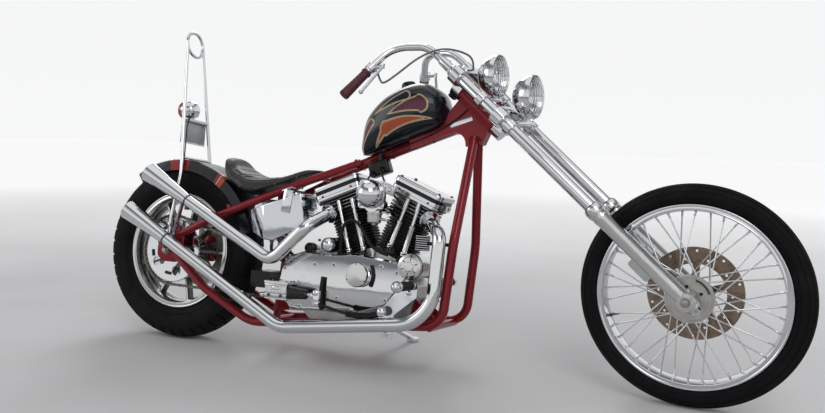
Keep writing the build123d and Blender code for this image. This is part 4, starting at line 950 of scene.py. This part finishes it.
def slabs(piece, rows, place):  # upright slabs with round corners and eased tops
    for wide, deep, corner, low, high, ease in rows:
        shape = bmesh.new()
        bmesh.ops.create_cube(shape, size=1)
        bmesh.ops.scale(shape, vec=mm(wide, deep, high - low), verts=shape.verts)
        bmesh.ops.translate(shape, vec=mm(0, 0, (low + high) / 2), verts=shape.verts)
        eased(shape, edgesAlong(shape, 2, 1e-4), corner / 1000, 6)
        if ease:
            top = [e for e in shape.edges if all(v.co.z > high / 1000 - 1e-5 for v in e.verts)]
            eased(shape, [e for e in top if e.calc_face_angle(0) > 1], ease / 1000, 4)
        piece.take(shape, place)


for end, tilt in engine["banks"].items():
    bank, lean = at(*engine["crank"]) @ turning(tilt), (1 if tilt > 0 else -1)
    turn = bank.to_3x3()
    box, band, bolts = pieces("rockerBox" + end, "rockerBand" + end, "rockerBolts" + end)
    slabs(box, engine["box"], bank)
    slabs(band, engine["band"], bank)
    for across in (-1, 1):
        for side in (-1, 1):
            bolts.bolt(bank @ mm(across * 76, side * 66, 425.5), turn @ Vector((0, 0, 1)), 5.5, 4, 12)
            bolts.bolt(bank @ mm(across * 88.5, side * 45, 385), turn @ Vector((across, 0, 0)), 5, 5)
        bolts.bolt(bank @ mm(across * 58, -82.5, 384), toRight, 4.5, 3.5)
    bolts.lathe([(16, 0), (17.5, 2), (16.5, 10), (12, 12.5), (0, 12.5)],
                aim(bank @ mm(lean * 91, -30, 384), turn @ Vector((lean, 0, 0))), 32)
    box.done(chrome, "chrome", "rocker_box_" + end.lower())
    band.done(blackGloss, "black_fins")
    bolts.done(darkSteel, "steel")
tubes, feet = pieces("pushrodCovers", "tappetFeet")
for topX, topZ, footX, footZ in engine["pushrods"]:
    foot = mm(footX - 8, -86, footZ)
    way = mm(topX - 8, -74, topZ) - foot
    length = way.length * 1000
    tubes.lathe([(12.5, -4), (12.5, 6), (9.5, 10), (8.6, 13)]
                + [(r, length * share) for r, share in engine["pushrod"]]
                + [(8.2, length + 12)], aim(foot, way), 32)
    feet.lathe(engine["foot"], aim(foot, (0, 0, 1)), 32)
    for side in (-1, 1):
        feet.bolt(foot + mm(side * 15, -5, -20), (0, 0, 1), 5.2, 12)
    feet.box((44, 24, 8), Matrix.Translation(foot) @ at(0, 0, -22), 3)
tubes.done(pipeChrome, "chrome", "pushrod_tubes")
feet.done(blackGloss, "black_fins")

# Air cleaner and carburettor
cleaner, cleanerBits, carb = pieces("airDome", "airPlate", "carburettorBowl")
quarter = [polar(1, 90 * index / 12) for index in range(1, 12)]
dome = facing(854, -156, 593)
cleaner.lathe([(45.2, 0), (46.5, 2), (46.5, 10), (45.2, 14)] + [(45.2 * r, 14 + 33 * h) for r, h in quarter]
              + [(0, 47)], dome, 72)
cleaner.ring(46.6, 1.2, dome @ at(0, 0, 6), 72, 8)
cleaner.done(chrome, "chrome")
for x, z in ((814, 553), (894, 553), (814, 633), (894, 633)):
    cleanerBits.bolt(mm(x, -156, z), toRight, 4.8, 4.5)
cleanerBits.box((40, 18, 34), at(918, -148, 612) @ Matrix.Rotation(0.35, 4, "Y"), 5, 3)
cleanerBits.bolt(mm(920, -157, 612), toRight, 8.5, 6)
cleanerBits.lathe([(12.5, 0), (12.5, 2.5), (8.5, 3)], facing(920, -157, 612), 32)
cleanerBits.done(polishedAlloy, "polished_alloy")
carb.lathe([(0, 0), (18, 0), (23.5, 4), (24.5, 10), (24.5, 30), (27, 31), (27, 37), (20, 38)],
           aim(mm(850, -110, 496), (0, 0, 1)), 40)
for degrees in range(45, 405, 90):
    x, y = polar(23.5, degrees)
    carb.bolt(mm(850 + x, -110 + y, 527), (0, 0, -1), 2.8, 5, 8)
carb.bolt(mm(850, -110, 497), (0, 0, -1), 7.5, 7)
carb.lathe([(0, 0), (5, 0), (5, 22), (3.5, 24), (3.5, 34), (0, 34)], aim(mm(874, -112, 512), (1, -0.2, -0.1)), 20)
for step in range(7):  # accelerator spring
    carb.ring(5.2, 0.9, aim(mm(890 + step * 3.2, -108 + step, 548 - step * 9), (0.3, 0, -1)), 20, 6)
carb.done(castAlloy, "satin_alloy")

# Timing cover, generator cap, starter nose, primary cover and coil
caps = {
    "timing": [(40, -6), (40.5, 0), (40.5, 3), (38.5, 5.2), (35, 5.6), (34.5, 4.4), (30, 4.8), (14, 6.2), (0, 6.4)],
    "generator": [(42, -4), (42.8, 0), (42.8, 4), (40.5, 7.5), (31, 10.5), (30, 9), (16, 10), (14, 12.5), (0, 13)],
    "screws": [(530, 318), (648, 340), (722, 344), (742, 232), (900, 352), (958, 336), (922, 240), (800, 192),
               (600, 190)],
    "primary": {606: 89.28, 848: 74.4},  # x of a centre, reach of its screws
}
covers, dark, screws, primaryBits, coil = pieces("coverTrim", "coverDarkAndPaintedShadow", "coverScrews", "primaryScrews", "coilCase")
timing = facing(820, -156, 318)
covers.lathe(caps["timing"], timing, 72)
dark.ring(40.9, 1.2, timing @ at(0, 0, -4), 72, 8)
# painted shadow: a dark crescent along the right edge of the timing cover, where the cover's shadow falls
dark.tube([mm(866 + 8 * sin(i * pi / 12), -134.5, 282 + 6 * i) for i in range(13)], 7.5, 4)
for degrees in (90, 210, 330):
    screws.bolt(timing @ mm(*polar(37.5, degrees), 4.5), toRight, 2.4, 1.8, 12)
for x, z in caps["screws"]:
    covers.lathe([(7.8, 0), (7.8, 1), (6, 1.4), (5.4, 0.4), (0, 0.4)], facing(x, -134, z), 24)
    screws.bolt(mm(x, -133.6, z), toRight, 3.6, 3.6)
covers.lathe(caps["generator"], facing(1014, -160, 362), 72)
for degrees in range(20, 380, 60):
    dark.box((11, 3.5, 4), facing(1014, -169.3, 362) @ turning(degrees, "Z") @ at(24.5, 0, -1.2), 1.2)
for degrees in (80, 260):
    screws.bolt(around(mm(1014, -168.5, 362), 36.5, degrees), toRight, 4.2, 5)
dark.ring(42.4, 1.3, facing(1014, -152, 362, 1), 64, 8)
dark.lathe([(0, 10.5), (12.5, 9.5), (18.5, 5.5), (19.5, 0), (19.2, -20)], facing(614, -118, 394))
for degrees in range(0, 360, 60):
    dark.box((3, 6, 6), Matrix.Translation(around(mm(614, -125, 394), 14.5, degrees)), 1)
for x, z in ((648, 424), (716, 430), (636, 372)):
    screws.bolt(mm(x, -112, z), toRight, 5.2, 6)
covers.done(polishedAlloy, "polished_alloy")
dark.done(blackGloss, "black_metal")
screws.done(darkSteel, "steel")
for degrees in range(0, 360, 30):
    x = 848 if polar(1, degrees)[0] > 0 else 606
    primaryBits.bolt(around(mm(x, 136.3, 264), caps["primary"][x], degrees), (0, 1, 0), 4.8, 4)
primaryBits.lathe([(44, 0), (45, 2), (43, 4), (30, 5.2), (0, 5.5)], facing(606, 136, 264, 1), 64)
for degrees in (0, 120, 240):
    primaryBits.bolt(around(mm(606, 139, 264), 37, degrees), (0, 1, 0), 3.5, 3.5)
primaryBits.lathe([(16, 0), (16.5, 2), (14.5, 4.5), (0, 5)], facing(742, 136, 226, 1), 40)
primaryBits.done(polishedAlloy, "polished_alloy")
coil.box((78, 44, 52), at(824, -30, 692) @ turning(-21), 8, 4)
for side in (-1, 1):
    coil.lathe([(0, 0), (10, 0), (8.5, 16), (6, 20), (0, 20)],
               aim(mm(824 + side * 18, -51, 680 + side * 8), (0, -1, -0.3)), 24)
    coil.tube(path((824 + side * 18, -69, 674 + side * 8), (832 + side * 34, -88, 640), (846 + side * 62, -84, 596),
                   (846 + side * 84, -66, 566)), 3.6, 8)
coil.box((12, 30, 70), at(824, -24, 712), 2)
coil.done(blackGloss, "black_metal")
print("engine dressed")

# Oil tank with its folded rear face, tab, unions, hoses and the cable on the backbone
oil = {
    "outer": -136, "inner": -20, "fold": -114,
    "outline": [(352, 514, 1), (418, 535, 0), (570, 586, 0), (594, 470, 0), (466, 408, 0), (432, 410, 0),
                (372, 431, 1)],  # x, z, on the fold
    "unions": [(452, -110, 408), (474, -92, 410), (500, -70, 421)],
    "hoses": [
        path((452, -110, 388), (452, -110, 362), (500, -112, 338), (560, -100, 330)),
        path((474, -92, 390), (474, -92, 356), (520, -84, 322), (572, -70, 318)),
        path((500, -70, 401), (500, -70, 370), (540, -58, 350), (590, -50, 340)),
    ],
    "engineHose": path((724, -96, 384), (722, -104, 470), (758, -112, 508), (800, -112, 490), (850, -104, 400),
                       (905, -96, 392)),
}
shape = bmesh.new()
front = [shape.verts.new(mm(x, oil["fold" if folded else "outer"], z)) for x, z, folded in oil["outline"]]
back = [shape.verts.new(mm(x, oil["inner"], z)) for x, z, folded in oil["outline"]]
shape.faces.new(front[1:6])
shape.faces.new([front[i] for i in (0, 1, 5, 6)])
shape.faces.new(back[::-1])
for index in range(len(front)):
    after = (index + 1) % len(front)
    shape.faces.new((front[index], back[index], back[after], front[after]))
bmesh.ops.recalc_face_normals(shape, faces=shape.faces)
eased(shape, shape.edges[:], 0.0045, 4)
oilPiece, tab, unions, pipes = pieces("oilTankShell", "oilTankTab", "oilUnions", "oilHoses")
oilPiece.take(shape)
oilPiece.lathe([(0, 16), (14, 15.5), (19, 12), (19.5, 0), (19.5, -4)], aim(mm(520, -76, 572), (-0.32, 0, 1)), 40)
oilPiece.box((34, 28, 45), at(375, -84, 522.5), 4)
oilPiece.done(softChrome, "chrome", "oil_tank")
tab.box((36, 3.5, 82), at(519, -138.2, 553) @ Matrix.Rotation(0.12, 4, "Y"), 1.6)
tab.box((40, 36, 4), at(514, -122, 596) @ Matrix.Rotation(-0.40, 4, "Y"), 1.6)
tab.bolt(mm(517, -139.6, 572), toRight, 6.2, 5)
tab.done(chrome, "chrome")
for x, y, z in oil["unions"]:
    unions.bolt(mm(x, y, z + 6), (0, 0, -1), 8.5, 12)
    unions.lathe([(5.5, 0), (5.5, 6), (6.8, 7), (5.2, 10), (6.8, 11), (5, 18)], aim(mm(x, y, z - 5), (0, 0, -1)), 20)
unions.done(darkSteel, "steel")
for line in oil["hoses"]:
    pipes.tube(line, 5.8)
pipes.tube(oil["engineHose"], 5.5, 14, 4)
backboneRear, backboneFront = mm(722, 0, 698), neckFoot + mm(-105, 0, 4)
backboneWay = (backboneFront - backboneRear).normalized()
pipes.tube([backboneRear + backboneWay * along + mm(0, -21.8, -2) for along in (0.060, 0.150)]
           + [neckFoot + mm(-150, -27.2, -6), neckFoot + mm(-96, -27.2, 52)], 2.6, 12)
pipes.done(rubber, "black_rubber", "control_cables")
print("oil tank made")

# Foot controls: boot, cylinder's lid and ribs, lines, clevis, lever, pegs, brackets' bolts
boot, lidBits, master, line = pieces("brakeBellows", "cylinderLid", "masterRibs", "brakeLine")
boot.lathe([(0, 0), (21.5, 0)] + [(22.8 - 5.5 * i / 16 - i % 2 * 4.2, 3 + 4 * i) for i in range(17)]
           + [(14, 69.5), (0, 70)], aim(mm(570.3, -160, 234), (1, 0, 0)))
boot.done(bootRubber, "black_rubber", "brake_boot")
lidBits.box((94, 47.8, 1.2), at(527, -160, 261.6), 0.3)
for x in (490, 564):
    for y in (-176, -144):
        lidBits.bolt(mm(x, y, 269.5), (0, 0, 1), 3.8, 3.5)
for x in (503, 551):
    lidBits.bolt(mm(x, -186, 222), toRight, 6.2, 5)
lidBits.bolt(mm(461, -160, 216.6), (-1, 0, -0.2), 9.5, 8)
lidBits.ring(8.5, 1.4, aim(mm(470, -160, 219), (1, 0, 0.2)), 32, 6)
lidBits.done(darkSteel, "steel")
master.lathe([(0, 0), (13, 0), (15.5, 2.5), (15.5, 85.5), (13, 88), (0, 88)], aim(mm(483, -171, 222), (1, 0, 0)), 40)
for x in (488, 508, 546, 566):
    master.box((4.5, 6, 46), at(x, -181, 236), 1.5)
master.box((90, 3.5, 6), at(527, -182.5, 256), 1.4)
master.box((28, 4, 12), at(527, -182.5, 246), 1.8)
master.done(polishedAlloy, "polished_alloy")
line.tube(path((458, -160, 216), (430, -160, 212), (380, -150, 196), (330, -146, 176), (270, -142, 190)), 3.5)
line.tube(path((688, -143, 300), (685, -146, 262), (686, -146, 226), (689, -142, 184)), 6.6)
line.done(rubber, "black_rubber")
pedal, clevis = pieces("pedalLever", "pedalClevis")
clevis.box((26, 16, 56), at(677, -160, 224), 4, 3)
clevis.lathe([(0, 0), (6, 0), (6, 36), (0, 36)], aim(mm(640.3, -160, 234), (1, 0, 0)), 24)
clevis.bolt(mm(658, -160, 234), (1, 0, 0), 10, 7)
clevis.lathe([(10.5, 0), (10, 4), (6, 7.5), (0, 8.5)], facing(677, -168, 243), 32)
clevis.lathe([(7.2, 0), (6.8, 3), (4, 5.2), (0, 5.8)], facing(683, -168, 207), 32)
clevis.lathe([(0, 0), (16.5, 0), (16.5, 4), (12.5, 10), (6, 13.5), (0, 14)], facing(929, -172, 205), 40)
pedal.lathe([(13, 0), (13, 26)], facing(929, -146, 205), 32)
pedal.pipe(path((684, -160, 206), (800, -160, 184)), 5)
for up in (-4.5, 0, 4.5):
    pedal.tube(path((795, -160, 185 + up), (845, -160, 180 + up), (900, -160, 190 + up), (929, -160, 205 + up)), 6.2)
pedal.done(blackGloss, "chrome", "brake_pedal")
clevis.done(chrome, "chrome")
pegs = {
    "rubber": [(9, 6), (15, 6)] + [(15.5 if i % 2 else 13.8, 12 + 5.2 * i) for i in range(20)]
              + [(15.5, 114), (10, 116)],
    "acorn": [(10.5, 112), (17.5, 114), (18.8, 119), (18.5, 128), (15, 138), (9, 145.5), (4, 148.5), (0, 149)],
    "root": [(0, 0), (14.5, 0), (14.5, 5), (10, 8), (9.5, 10)],
    "bolts": [(942, 134, 7.5), (942, 176, 6.5), (1012, 276, 7.5)],
}
rubbers, acorns, bits, spring = pieces("pegRubbers", "pegAcorns", "bracketBolts", "standSpring")
for side in (-1, 1):
    place = facing(1018, side * 146.3, 300, side)
    rubbers.lathe(pegs["rubber"], place, 36)
    acorns.lathe(pegs["acorn"], place)
    acorns.lathe(pegs["root"], place, 36)
    for x, z, r in pegs["bolts"]:
        bits.lathe([(0, 0), (r + 4, 0), (r + 4, 1.6), (r, 2), (r, 5), (r * 0.6, 8), (0, 9)],
                   facing(x, side * 145.9, z, side), 32)
rubbers.done(rubber, "black_rubber", "foot_pegs")
acorns.done(chrome, "chrome")
bits.done(chrome, "chrome")
for step in range(22):
    spring.ring(6.2, 1.1, aim(mm(742 + step * 2.6, 163 + step * 0.4, 118 - step * 0.5), (1, 0.15, -0.2)), 16, 6)
spring.done(darkSteel, "steel")
print("controls made")

# Wheels: rim beads, nipples, hub covers, disc bolts, rear axle
rims = {"front": (283, 31, 265.5), "rear": (222, 50, 204.5)}  # lip, half width, foot
for end, hub, finish in (("front", frontHub, chrome), ("rear", rearHub, polishedAlloy)):
    lip, half, foot = rims[end]
    beads = Piece(end + "RimBeads")
    profile = [(foot, -1), (foot + 0.8, 0.9), (foot + 3.2, 1.3), (foot + 4.8, 0.2), (lip - 5.8, 0.2), (lip - 4, 1.6),
               (lip - 1.2, 2.1), (lip + 0.8, 1.2), (lip + 0.6, -1)]
    for side in (-1, 1):
        beads.lathe([(r, side * (half + out)) for r, out in profile], hub, 120)
    beads.done(finish, "chrome", body=end + "_wheel")
wire = {"count": 40, "cross": 50, "well": 262, "flange": 52, "flangeY": 34, "headY": 37.2}
nipples, elbows = pieces("spokeNipples", "spokeHeads")
for index in range(wire["count"]):
    side, cross = (1 if index % 2 else -1), (1 if index % 4 < 2 else -1)
    angle = index * 360 / wire["count"]
    inner = around(frontAxle, wire["flange"], angle - cross * wire["cross"], side * wire["flangeY"])
    outer = around(frontAxle, wire["well"], angle, side * 5)
    nipples.lathe([(4.5, -1), (4.2, 3), (3.2, 4), (3, 16), (2.2, 17.5)], aim(outer, inner - outer), 10)
    inner.y = side * wire["headY"] / 1000
    elbows.lathe([(0, 4.8), (3.4, 4.2), (4, 3), (4, 0)], aim(inner, (0, side, 0)), 10)
nipples.done(polishedAlloy, "chrome", body="front_wheel")
elbows.done(polishedAlloy, "chrome", body="front_wheel")
hubTrim, hubDark, carrier, castHub = pieces("hubTrim", "hubBolts", "discBolts", "rearHubTrim")
hubTrim.lathe([(72.5, -6), (73.3, -1), (72.5, 1.2), (66, 1.8), (65, 0.6), (56, 0.6), (55, 1.6), (26, 2.2), (25, 4.6),
               (19, 5), (17.5, 4)], aim(frontAxle + mm(0, -52, 0), toRight), 96)
for index in range(5):
    spot = around(frontAxle, 39, index * 72 + 30, -53.5)
    hubDark.bolt(spot, toRight, 5.2, 3.5)
    hubTrim.lathe([(5.6, 0), (7.6, 0), (7.6, 1.2), (5.6, 1.4)], aim(spot, toRight), 24)
    for side in (-1, 1):
        carrier.bolt(around(frontAxle, 34, index * 72 + 18, 55 + side * 2.4), (0, side, 0), 5.5, 4)
    castHub.bolt(around(rearAxle, 40, index * 72 + 36, -87), toRight, 7.2, 6)
    castHub.bolt(around(rearAxle, 38.5, index * 72 + 36, 89), (0, 1, 0), 6, 5)
hubDark.tube([around(frontAxle, 60.5, 20 + i * 6, -52.8) for i in range(10)], 2.6, 4)
hubTrim.done(dustyAlloy, "chrome", body="front_wheel")
hubDark.done(blackGloss, "black_metal", body="front_wheel")
carrier.done(polishedAlloy, "chrome", body="front_wheel")
axle = Piece("rearAxleSet")
axle.lathe([(0, -140), (8, -140), (9.5, -138), (9.5, 138), (8, 140), (0, 140)], rearHub, 40)
for side, inside in ((-1, 89), (1, 90.5)):
    out = (0, side, 0)
    castHub.lathe([(34.5, 0), (34.5, 16.5), (32.5, 18), (20, 18.5), (19.5, 16)],
                  aim(rearAxle + mm(0, side * 62.2, 0), out), 56)
    castHub.ring(121.5, 1, rearHub @ at(0, 0, -84 + side * 3.2), 96, 6)
    axle.lathe([(9.6, 122.3), (16, 122.3), (16, 124.6), (9.6, 125)], aim(rearAxle, out), 40)
    axle.bolt(rearAxle + mm(0, side * 124.8, 0), out, 15, 9, 6, 0.3)
    axle.lathe([(9.6, inside), (18, inside), (18, 113.5), (9.6, 113.5)], aim(rearAxle, out))
castHub.done(darkSteel, "steel", body="rear_wheel")
axle.done(steel, "steel", "rear_axle")
print("wheels dressed")

# Drive chain: plates, rollers and pins along the belt round both sprockets
chain = {"rear": (0, 340, 132), "front": (541, 262, 61.5), "links": 106, "y": -84}  # x, z and radius
(x0, z0, r0), (x1, z1, r1) = chain["rear"], chain["front"]
span, base = hypot(x1 - x0, z1 - z0), atan2(z1 - z0, x1 - x0)
lean = pi / 2 - atan2(r0 - r1, span)
upper, lower = base + lean, base - lean
straight = sqrt(span**2 - (r0 - r1) ** 2)
frontWrap, rearWrap = 2 * lean * r1, 2 * (pi - lean) * r0
lengthRound = 2 * straight + frontWrap + rearWrap


def onSprocket(end, angle):
    x, z, r = chain[end]
    return mm(x + r * cos(angle), chain["y"], z + r * sin(angle))


def onChain(share):  # a point a share of the way round
    run = share % 1.0 * lengthRound
    if run < straight:
        return onSprocket("rear", upper).lerp(onSprocket("front", upper), run / straight)
    run -= straight
    if run < frontWrap:
        return onSprocket("front", upper - run / r1)
    run -= frontWrap
    if run < straight:
        return onSprocket("front", lower).lerp(onSprocket("rear", lower), run / straight)
    return onSprocket("rear", lower - (run - straight) / r0)


link = {"end": 0.0053, "waist": 0.0037, "thick": 0.0015, "inner": 0.0044, "outer": 0.0064}
plates, rollers = pieces("chainPlates", "chainRollers")
for index in range(chain["links"]):
    a, b = onChain(index / chain["links"]), onChain((index + 1) / chain["links"])
    way = (b - a).normalized()
    over = Vector((-way.z, 0, way.x))
    for side in (-1, 1):
        outline = []
        for centre, start, waist in ((a, 90, -link["waist"]), (b, -90, link["waist"])):  # round ends, a waist between
            steps = [polar(link["end"], start + step * 36) for step in range(6)]
            outline += [centre + way * along + over * up for along, up in steps] + [(a + b) / 2 + over * waist]
        near = Vector((0, side * link["outer" if index % 2 else "inner"], 0))
        plate = bmesh.new()
        face = plate.faces.new([plate.verts.new(spot + near) for spot in outline])
        thickened(plate, face, (0, side * link["thick"], 0))
        plates.take(plate)
    rollers.lathe([(0, -7.8), (2.2, -7.8), (2.2, -4.2), (4.1, -4.2), (4.1, 4.2), (2.2, 4.2), (2.2, 7.8), (0, 7.8)],
                  aim(a, (0, 1, 0)), 10)
plates.done(chainSteel, "steel", "drive_chain")
rollers.done(steel, "steel")
print("chain made")

# Small castings and fittings
fittings = {
    "carrier": [(0.225, 0.066, 0.030, (52, 26, 78)), (0.262, 0.078, 0.020, (34, 30, 50)),
                (0.188, 0.058, 0.040, (40, 18, 36))],
    "bolts": [(0.250, 0.038), (0.205, 0.046), (0.276, 0.014)], "legBolts": [(0.190, 0.010), (0.140, 0.004)],
}
regulator, starter, switch = pieces("regulatorCase", "starterCaps", "switchCover")
regulator.box((37, 30, 52), at(1033, -101, 442), 2)
regulator.box((80, 8, 12), at(1092, -108, 442), 1)
regulator.done(blackGloss, "black_metal")
for step in range(7):
    starter.box((41, 36, 2.8), at(1033, -104, 420 + step * 7.4), 0.8)
starter.lathe([(27, -72), (27, 0)] + [(27 * r, 26.8 * h) for r, h in quarter] + [(0, 26.8)], facing(684, -112, 410), 64)
starter.lathe([(19, -78), (19, 0), (17.5, 1.5), (0, 1.5)], facing(614, -116, 394))
starter.done(chrome, "satin_alloy", "electrics")
switch.box((27, 13.2, 27.2), aim(onFork(1.022, 0, -0.0315), upFork), 2.5)
switch.lathe([(0, 0), (6.8, 0), (6, 6), (0, 6.5)], aim(onFork(1.022, -0.013, -0.031), toRight), 24)
switch.done(blackGloss, "black_metal", body="front_fork")
casting, carrierBolts, nub = pieces("caliperCarrier", "caliperBolts", "stayNub")
forkTurn = Matrix((aheadFork, (0, 1, 0), upFork)).transposed().to_4x4()
for along, y, ahead, size in fittings["carrier"]:
    casting.box(size, Matrix.Translation(onFork(along, y, ahead)) @ forkTurn, 6, 3)
casting.done(castAlloy, "satin_alloy", body="front_fork")
for along, ahead in fittings["bolts"]:
    carrierBolts.bolt(onFork(along, 0.0545, ahead), toRight, 6.2, 7)
for along, ahead in fittings["legBolts"]:
    carrierBolts.bolt(onFork(along, 0.1125, ahead), (0, 1, 0), 7, 6)
carrierBolts.done(blackGloss, "black_metal", body="front_fork")
nub.lathe([(0, 30), (5.5, 29), (7.5, 25), (7.5, 0)], aim(mm(262, -107, 500), (-0.25, -0.15, 1)), 24)
nub.done(candyRed, "frame_paint")
print("fittings made")

# Machined fin edges on the heads, sprocket bolts and slots, cable clips, valve stem
for end, tilt in engine["banks"].items():
    fins = Piece("headFinEdges" + end)
    slabs(fins, engine["fins"], at(*engine["crank"]) @ turning(tilt))
    fins.done(castAlloy, "satin_alloy")
sprocketBits, sprocketSlots, clips, stem = pieces("sprocketBolts", "sprocketSlots", "cableClips", "valveStems")
for start in range(12, 372, 72):
    sprocketBits.lathe([(9.5, 0), (9.5, 1.4), (8, 2.2), (6.2, 1.2), (0, 1.2)],
                       aim(around(rearAxle, 66.5, start, -87.2), toRight), 28)
    sprocketSlots.tube([around(rearAxle, 90.5, start + 27 + step * 4, -86.8) for step in range(5)], 6.2, 3)
sprocketBits.done(darkSteel, "steel", body="rear_wheel")
sprocketSlots.done(blackGloss, "black_metal", body="rear_wheel")
for along in (0.14, 0.30):
    spot = backboneRear + backboneWay * along
    clips.lathe([(19.6, -3.5), (20.8, -3), (20.8, 3), (19.6, 3.5)], aim(spot, backboneWay), 40)
clips.done(darkSteel, "black_metal")
spot = around(frontAxle, 262, 200)
stem.lathe([(0, 34), (3.6, 33), (3.8, 22), (3, 21), (3, 6), (5, 5), (5, 0), (0, 0)], aim(spot, frontAxle - spot), 20)
stem.done(darkSteel, "black_rubber", body="front_wheel")
print("details added")

# The rest of the nodes as copies with eased edges and smooth curves
rest = {"edge": 0.0007, "sharp": 32, "merge": 2e-6, "flat": 0.4}
finishOf = {
    "crankcase": castAlloy, "front_caliper": castAlloy, "rear_caliper": castAlloy, "cam_cover": coverMirror,
    "primary_cover": coverMirror, "generator": polishedAlloy, "master_cylinder": polishedAlloy,
    "cylinder_rear": blackCast, "cylinder_front": blackCast, "rear_wheel_cast": wheelPaint, "battery_box": blackGloss,
    "front_disc": bronzeSteel, "rear_disc": steel, "foot_brackets": softChrome,
}
for name in [name for name in sorted(nodes) if not nodes[name].hide_render]:
    shape = bmesh.new()
    shape.from_mesh(nodes[name].data)
    bmesh.ops.remove_doubles(shape, verts=shape.verts, dist=rest["merge"])
    bmesh.ops.dissolve_limit(shape, angle_limit=radians(rest["flat"]), verts=shape.verts, edges=shape.edges)
    for corner in shape.edges:
        corner.smooth = corner.calc_face_angle(3.0) < radians(rest["sharp"])
    for face in shape.faces:
        face.smooth = True
    data = bpy.data.meshes.new(name + "Eased")
    shape.to_mesh(data)
    shape.free()
    piece = bpy.data.objects.new(name + "Eased", data)
    scene.collection.objects.link(piece)
    data.materials.append(finishOf.get(name, candyRed if name.startswith("frame_") else chrome).mat)
    ease = piece.modifiers.new("ease", "BEVEL")
    ease.width, ease.segments, ease.limit_method = rest["edge"], 2, "ANGLE"
    ease.angle_limit = radians(rest["sharp"] + 8)
    ease.use_clamp_overlap = ease.harden_normals = True
    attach(piece, nodes[name]["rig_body"])
    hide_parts(name)
print("nodes eased")

# Studio: pale floor, pale surroundings, soft lamps
studio = {
    "floor": 60.0, "floorColour": (0.80, 0.80, 0.81), "worldLight": 0.5, "farGlow": 0.65,
    "bands": [(0.0, (0.93, 0.935, 0.94)), (0.28, (0.90, 0.905, 0.91)), (0.50, (0.62, 0.63, 0.65)),
              (0.62, (0.20, 0.21, 0.23)), (0.78, (0.24, 0.25, 0.27)), (0.84, (0.95, 0.95, 0.95)),
              (1.0, (0.98, 0.98, 0.98))],  # pale round the horizon, a darker ceiling with a bright opening in it
    "lamps": [("keyLamp", (3.2, -3.6, 4.2), (0.9, 0.0, 0.5), 2.6, 62),  # name, place, target, size, watts
              ("backLamp", (-1.2, 3.6, 4.0), (0.9, 0.0, 0.5), 2.4, 70),
              ("fillLamp", (-3.4, -2.4, 2.4), (0.6, 0.0, 0.5), 2.2, 26)],
}
floorMesh = bmesh.new()
bmesh.ops.create_grid(floorMesh, x_segments=1, y_segments=1, size=studio["floor"] / 2)
floorData = bpy.data.meshes.new("floor")
floorMesh.to_mesh(floorData)
floorMesh.free()
floor = bpy.data.objects.new("floor", floorData)
scene.collection.objects.link(floor)
floorFinish = Finish("floorFinish", studio["floorColour"], 0.8)
floorFinish.tint(floorFinish.spread(floorFinish.noise(1.2, 5), 0.4, 0.7, 0, 0.25), (0.56, 0.55, 0.54))
spot = floorFinish.node("ShaderNodeVectorMath", operation="LENGTH")
floorFinish.link(floorFinish.point, spot.inputs[0])
seenBy = floorFinish.node("ShaderNodeLightPath")
far = floorFinish.times(floorFinish.spread(spot.outputs["Value"], 1.6, 8.0), seenBy.outputs["Is Camera Ray"])
floorFinish.shader.inputs["Emission Color"].default_value = (1, 1, 1, 1)
floorFinish.link(floorFinish.times(far, studio["farGlow"]), floorFinish.shader.inputs["Emission Strength"])
floorData.materials.append(floorFinish.mat)

world = bpy.data.worlds.new("world")
scene.world = world
world.use_nodes = True
tree = world.node_tree
backdrop = tree.nodes["Background"]
heights, bands = tree.nodes.new("ShaderNodeSeparateXYZ"), tree.nodes.new("ShaderNodeValToRGB")
tree.links.new(tree.nodes.new("ShaderNodeTexCoord").outputs["Generated"], heights.inputs[0])
for index, (place, colour) in enumerate(studio["bands"]):
    stop = bands.color_ramp.elements[index] if index < 2 else bands.color_ramp.elements.new(place)
    stop.position, stop.color = place, (*colour, 1)
tree.links.new(heights.outputs["Z"], bands.inputs[0])
tree.links.new(bands.outputs[0], backdrop.inputs["Color"])
paths = tree.nodes.new("ShaderNodeLightPath")
seen = paths.outputs["Is Camera Ray"]
for ray in ("Is Glossy Ray", "Is Transmission Ray"):
    either = tree.nodes.new("ShaderNodeMath")
    either.operation, either.use_clamp = "ADD", True
    tree.links.new(seen, either.inputs[0])
    tree.links.new(paths.outputs[ray], either.inputs[1])
    seen = either.outputs[0]
strength = tree.nodes.new("ShaderNodeMapRange")
strength.inputs[3].default_value = studio["worldLight"]
strength.inputs[4].default_value = 1.0
tree.links.new(seen, strength.inputs[0])
tree.links.new(strength.outputs[0], backdrop.inputs["Strength"])

for name, place, target, size, watts in studio["lamps"]:
    lampData = bpy.data.lights.new(name, "AREA")
    lampData.size, lampData.energy = size, watts
    lampObject = bpy.data.objects.new(name, lampData)
    scene.collection.objects.link(lampObject)
    way = Vector(target) - Vector(place)
    lampObject.matrix_world = Matrix.Translation(place) @ way.to_track_quat("-Z", "Y").to_matrix().to_4x4()
scene.view_settings.view_transform = "Standard"
print("studio ready")
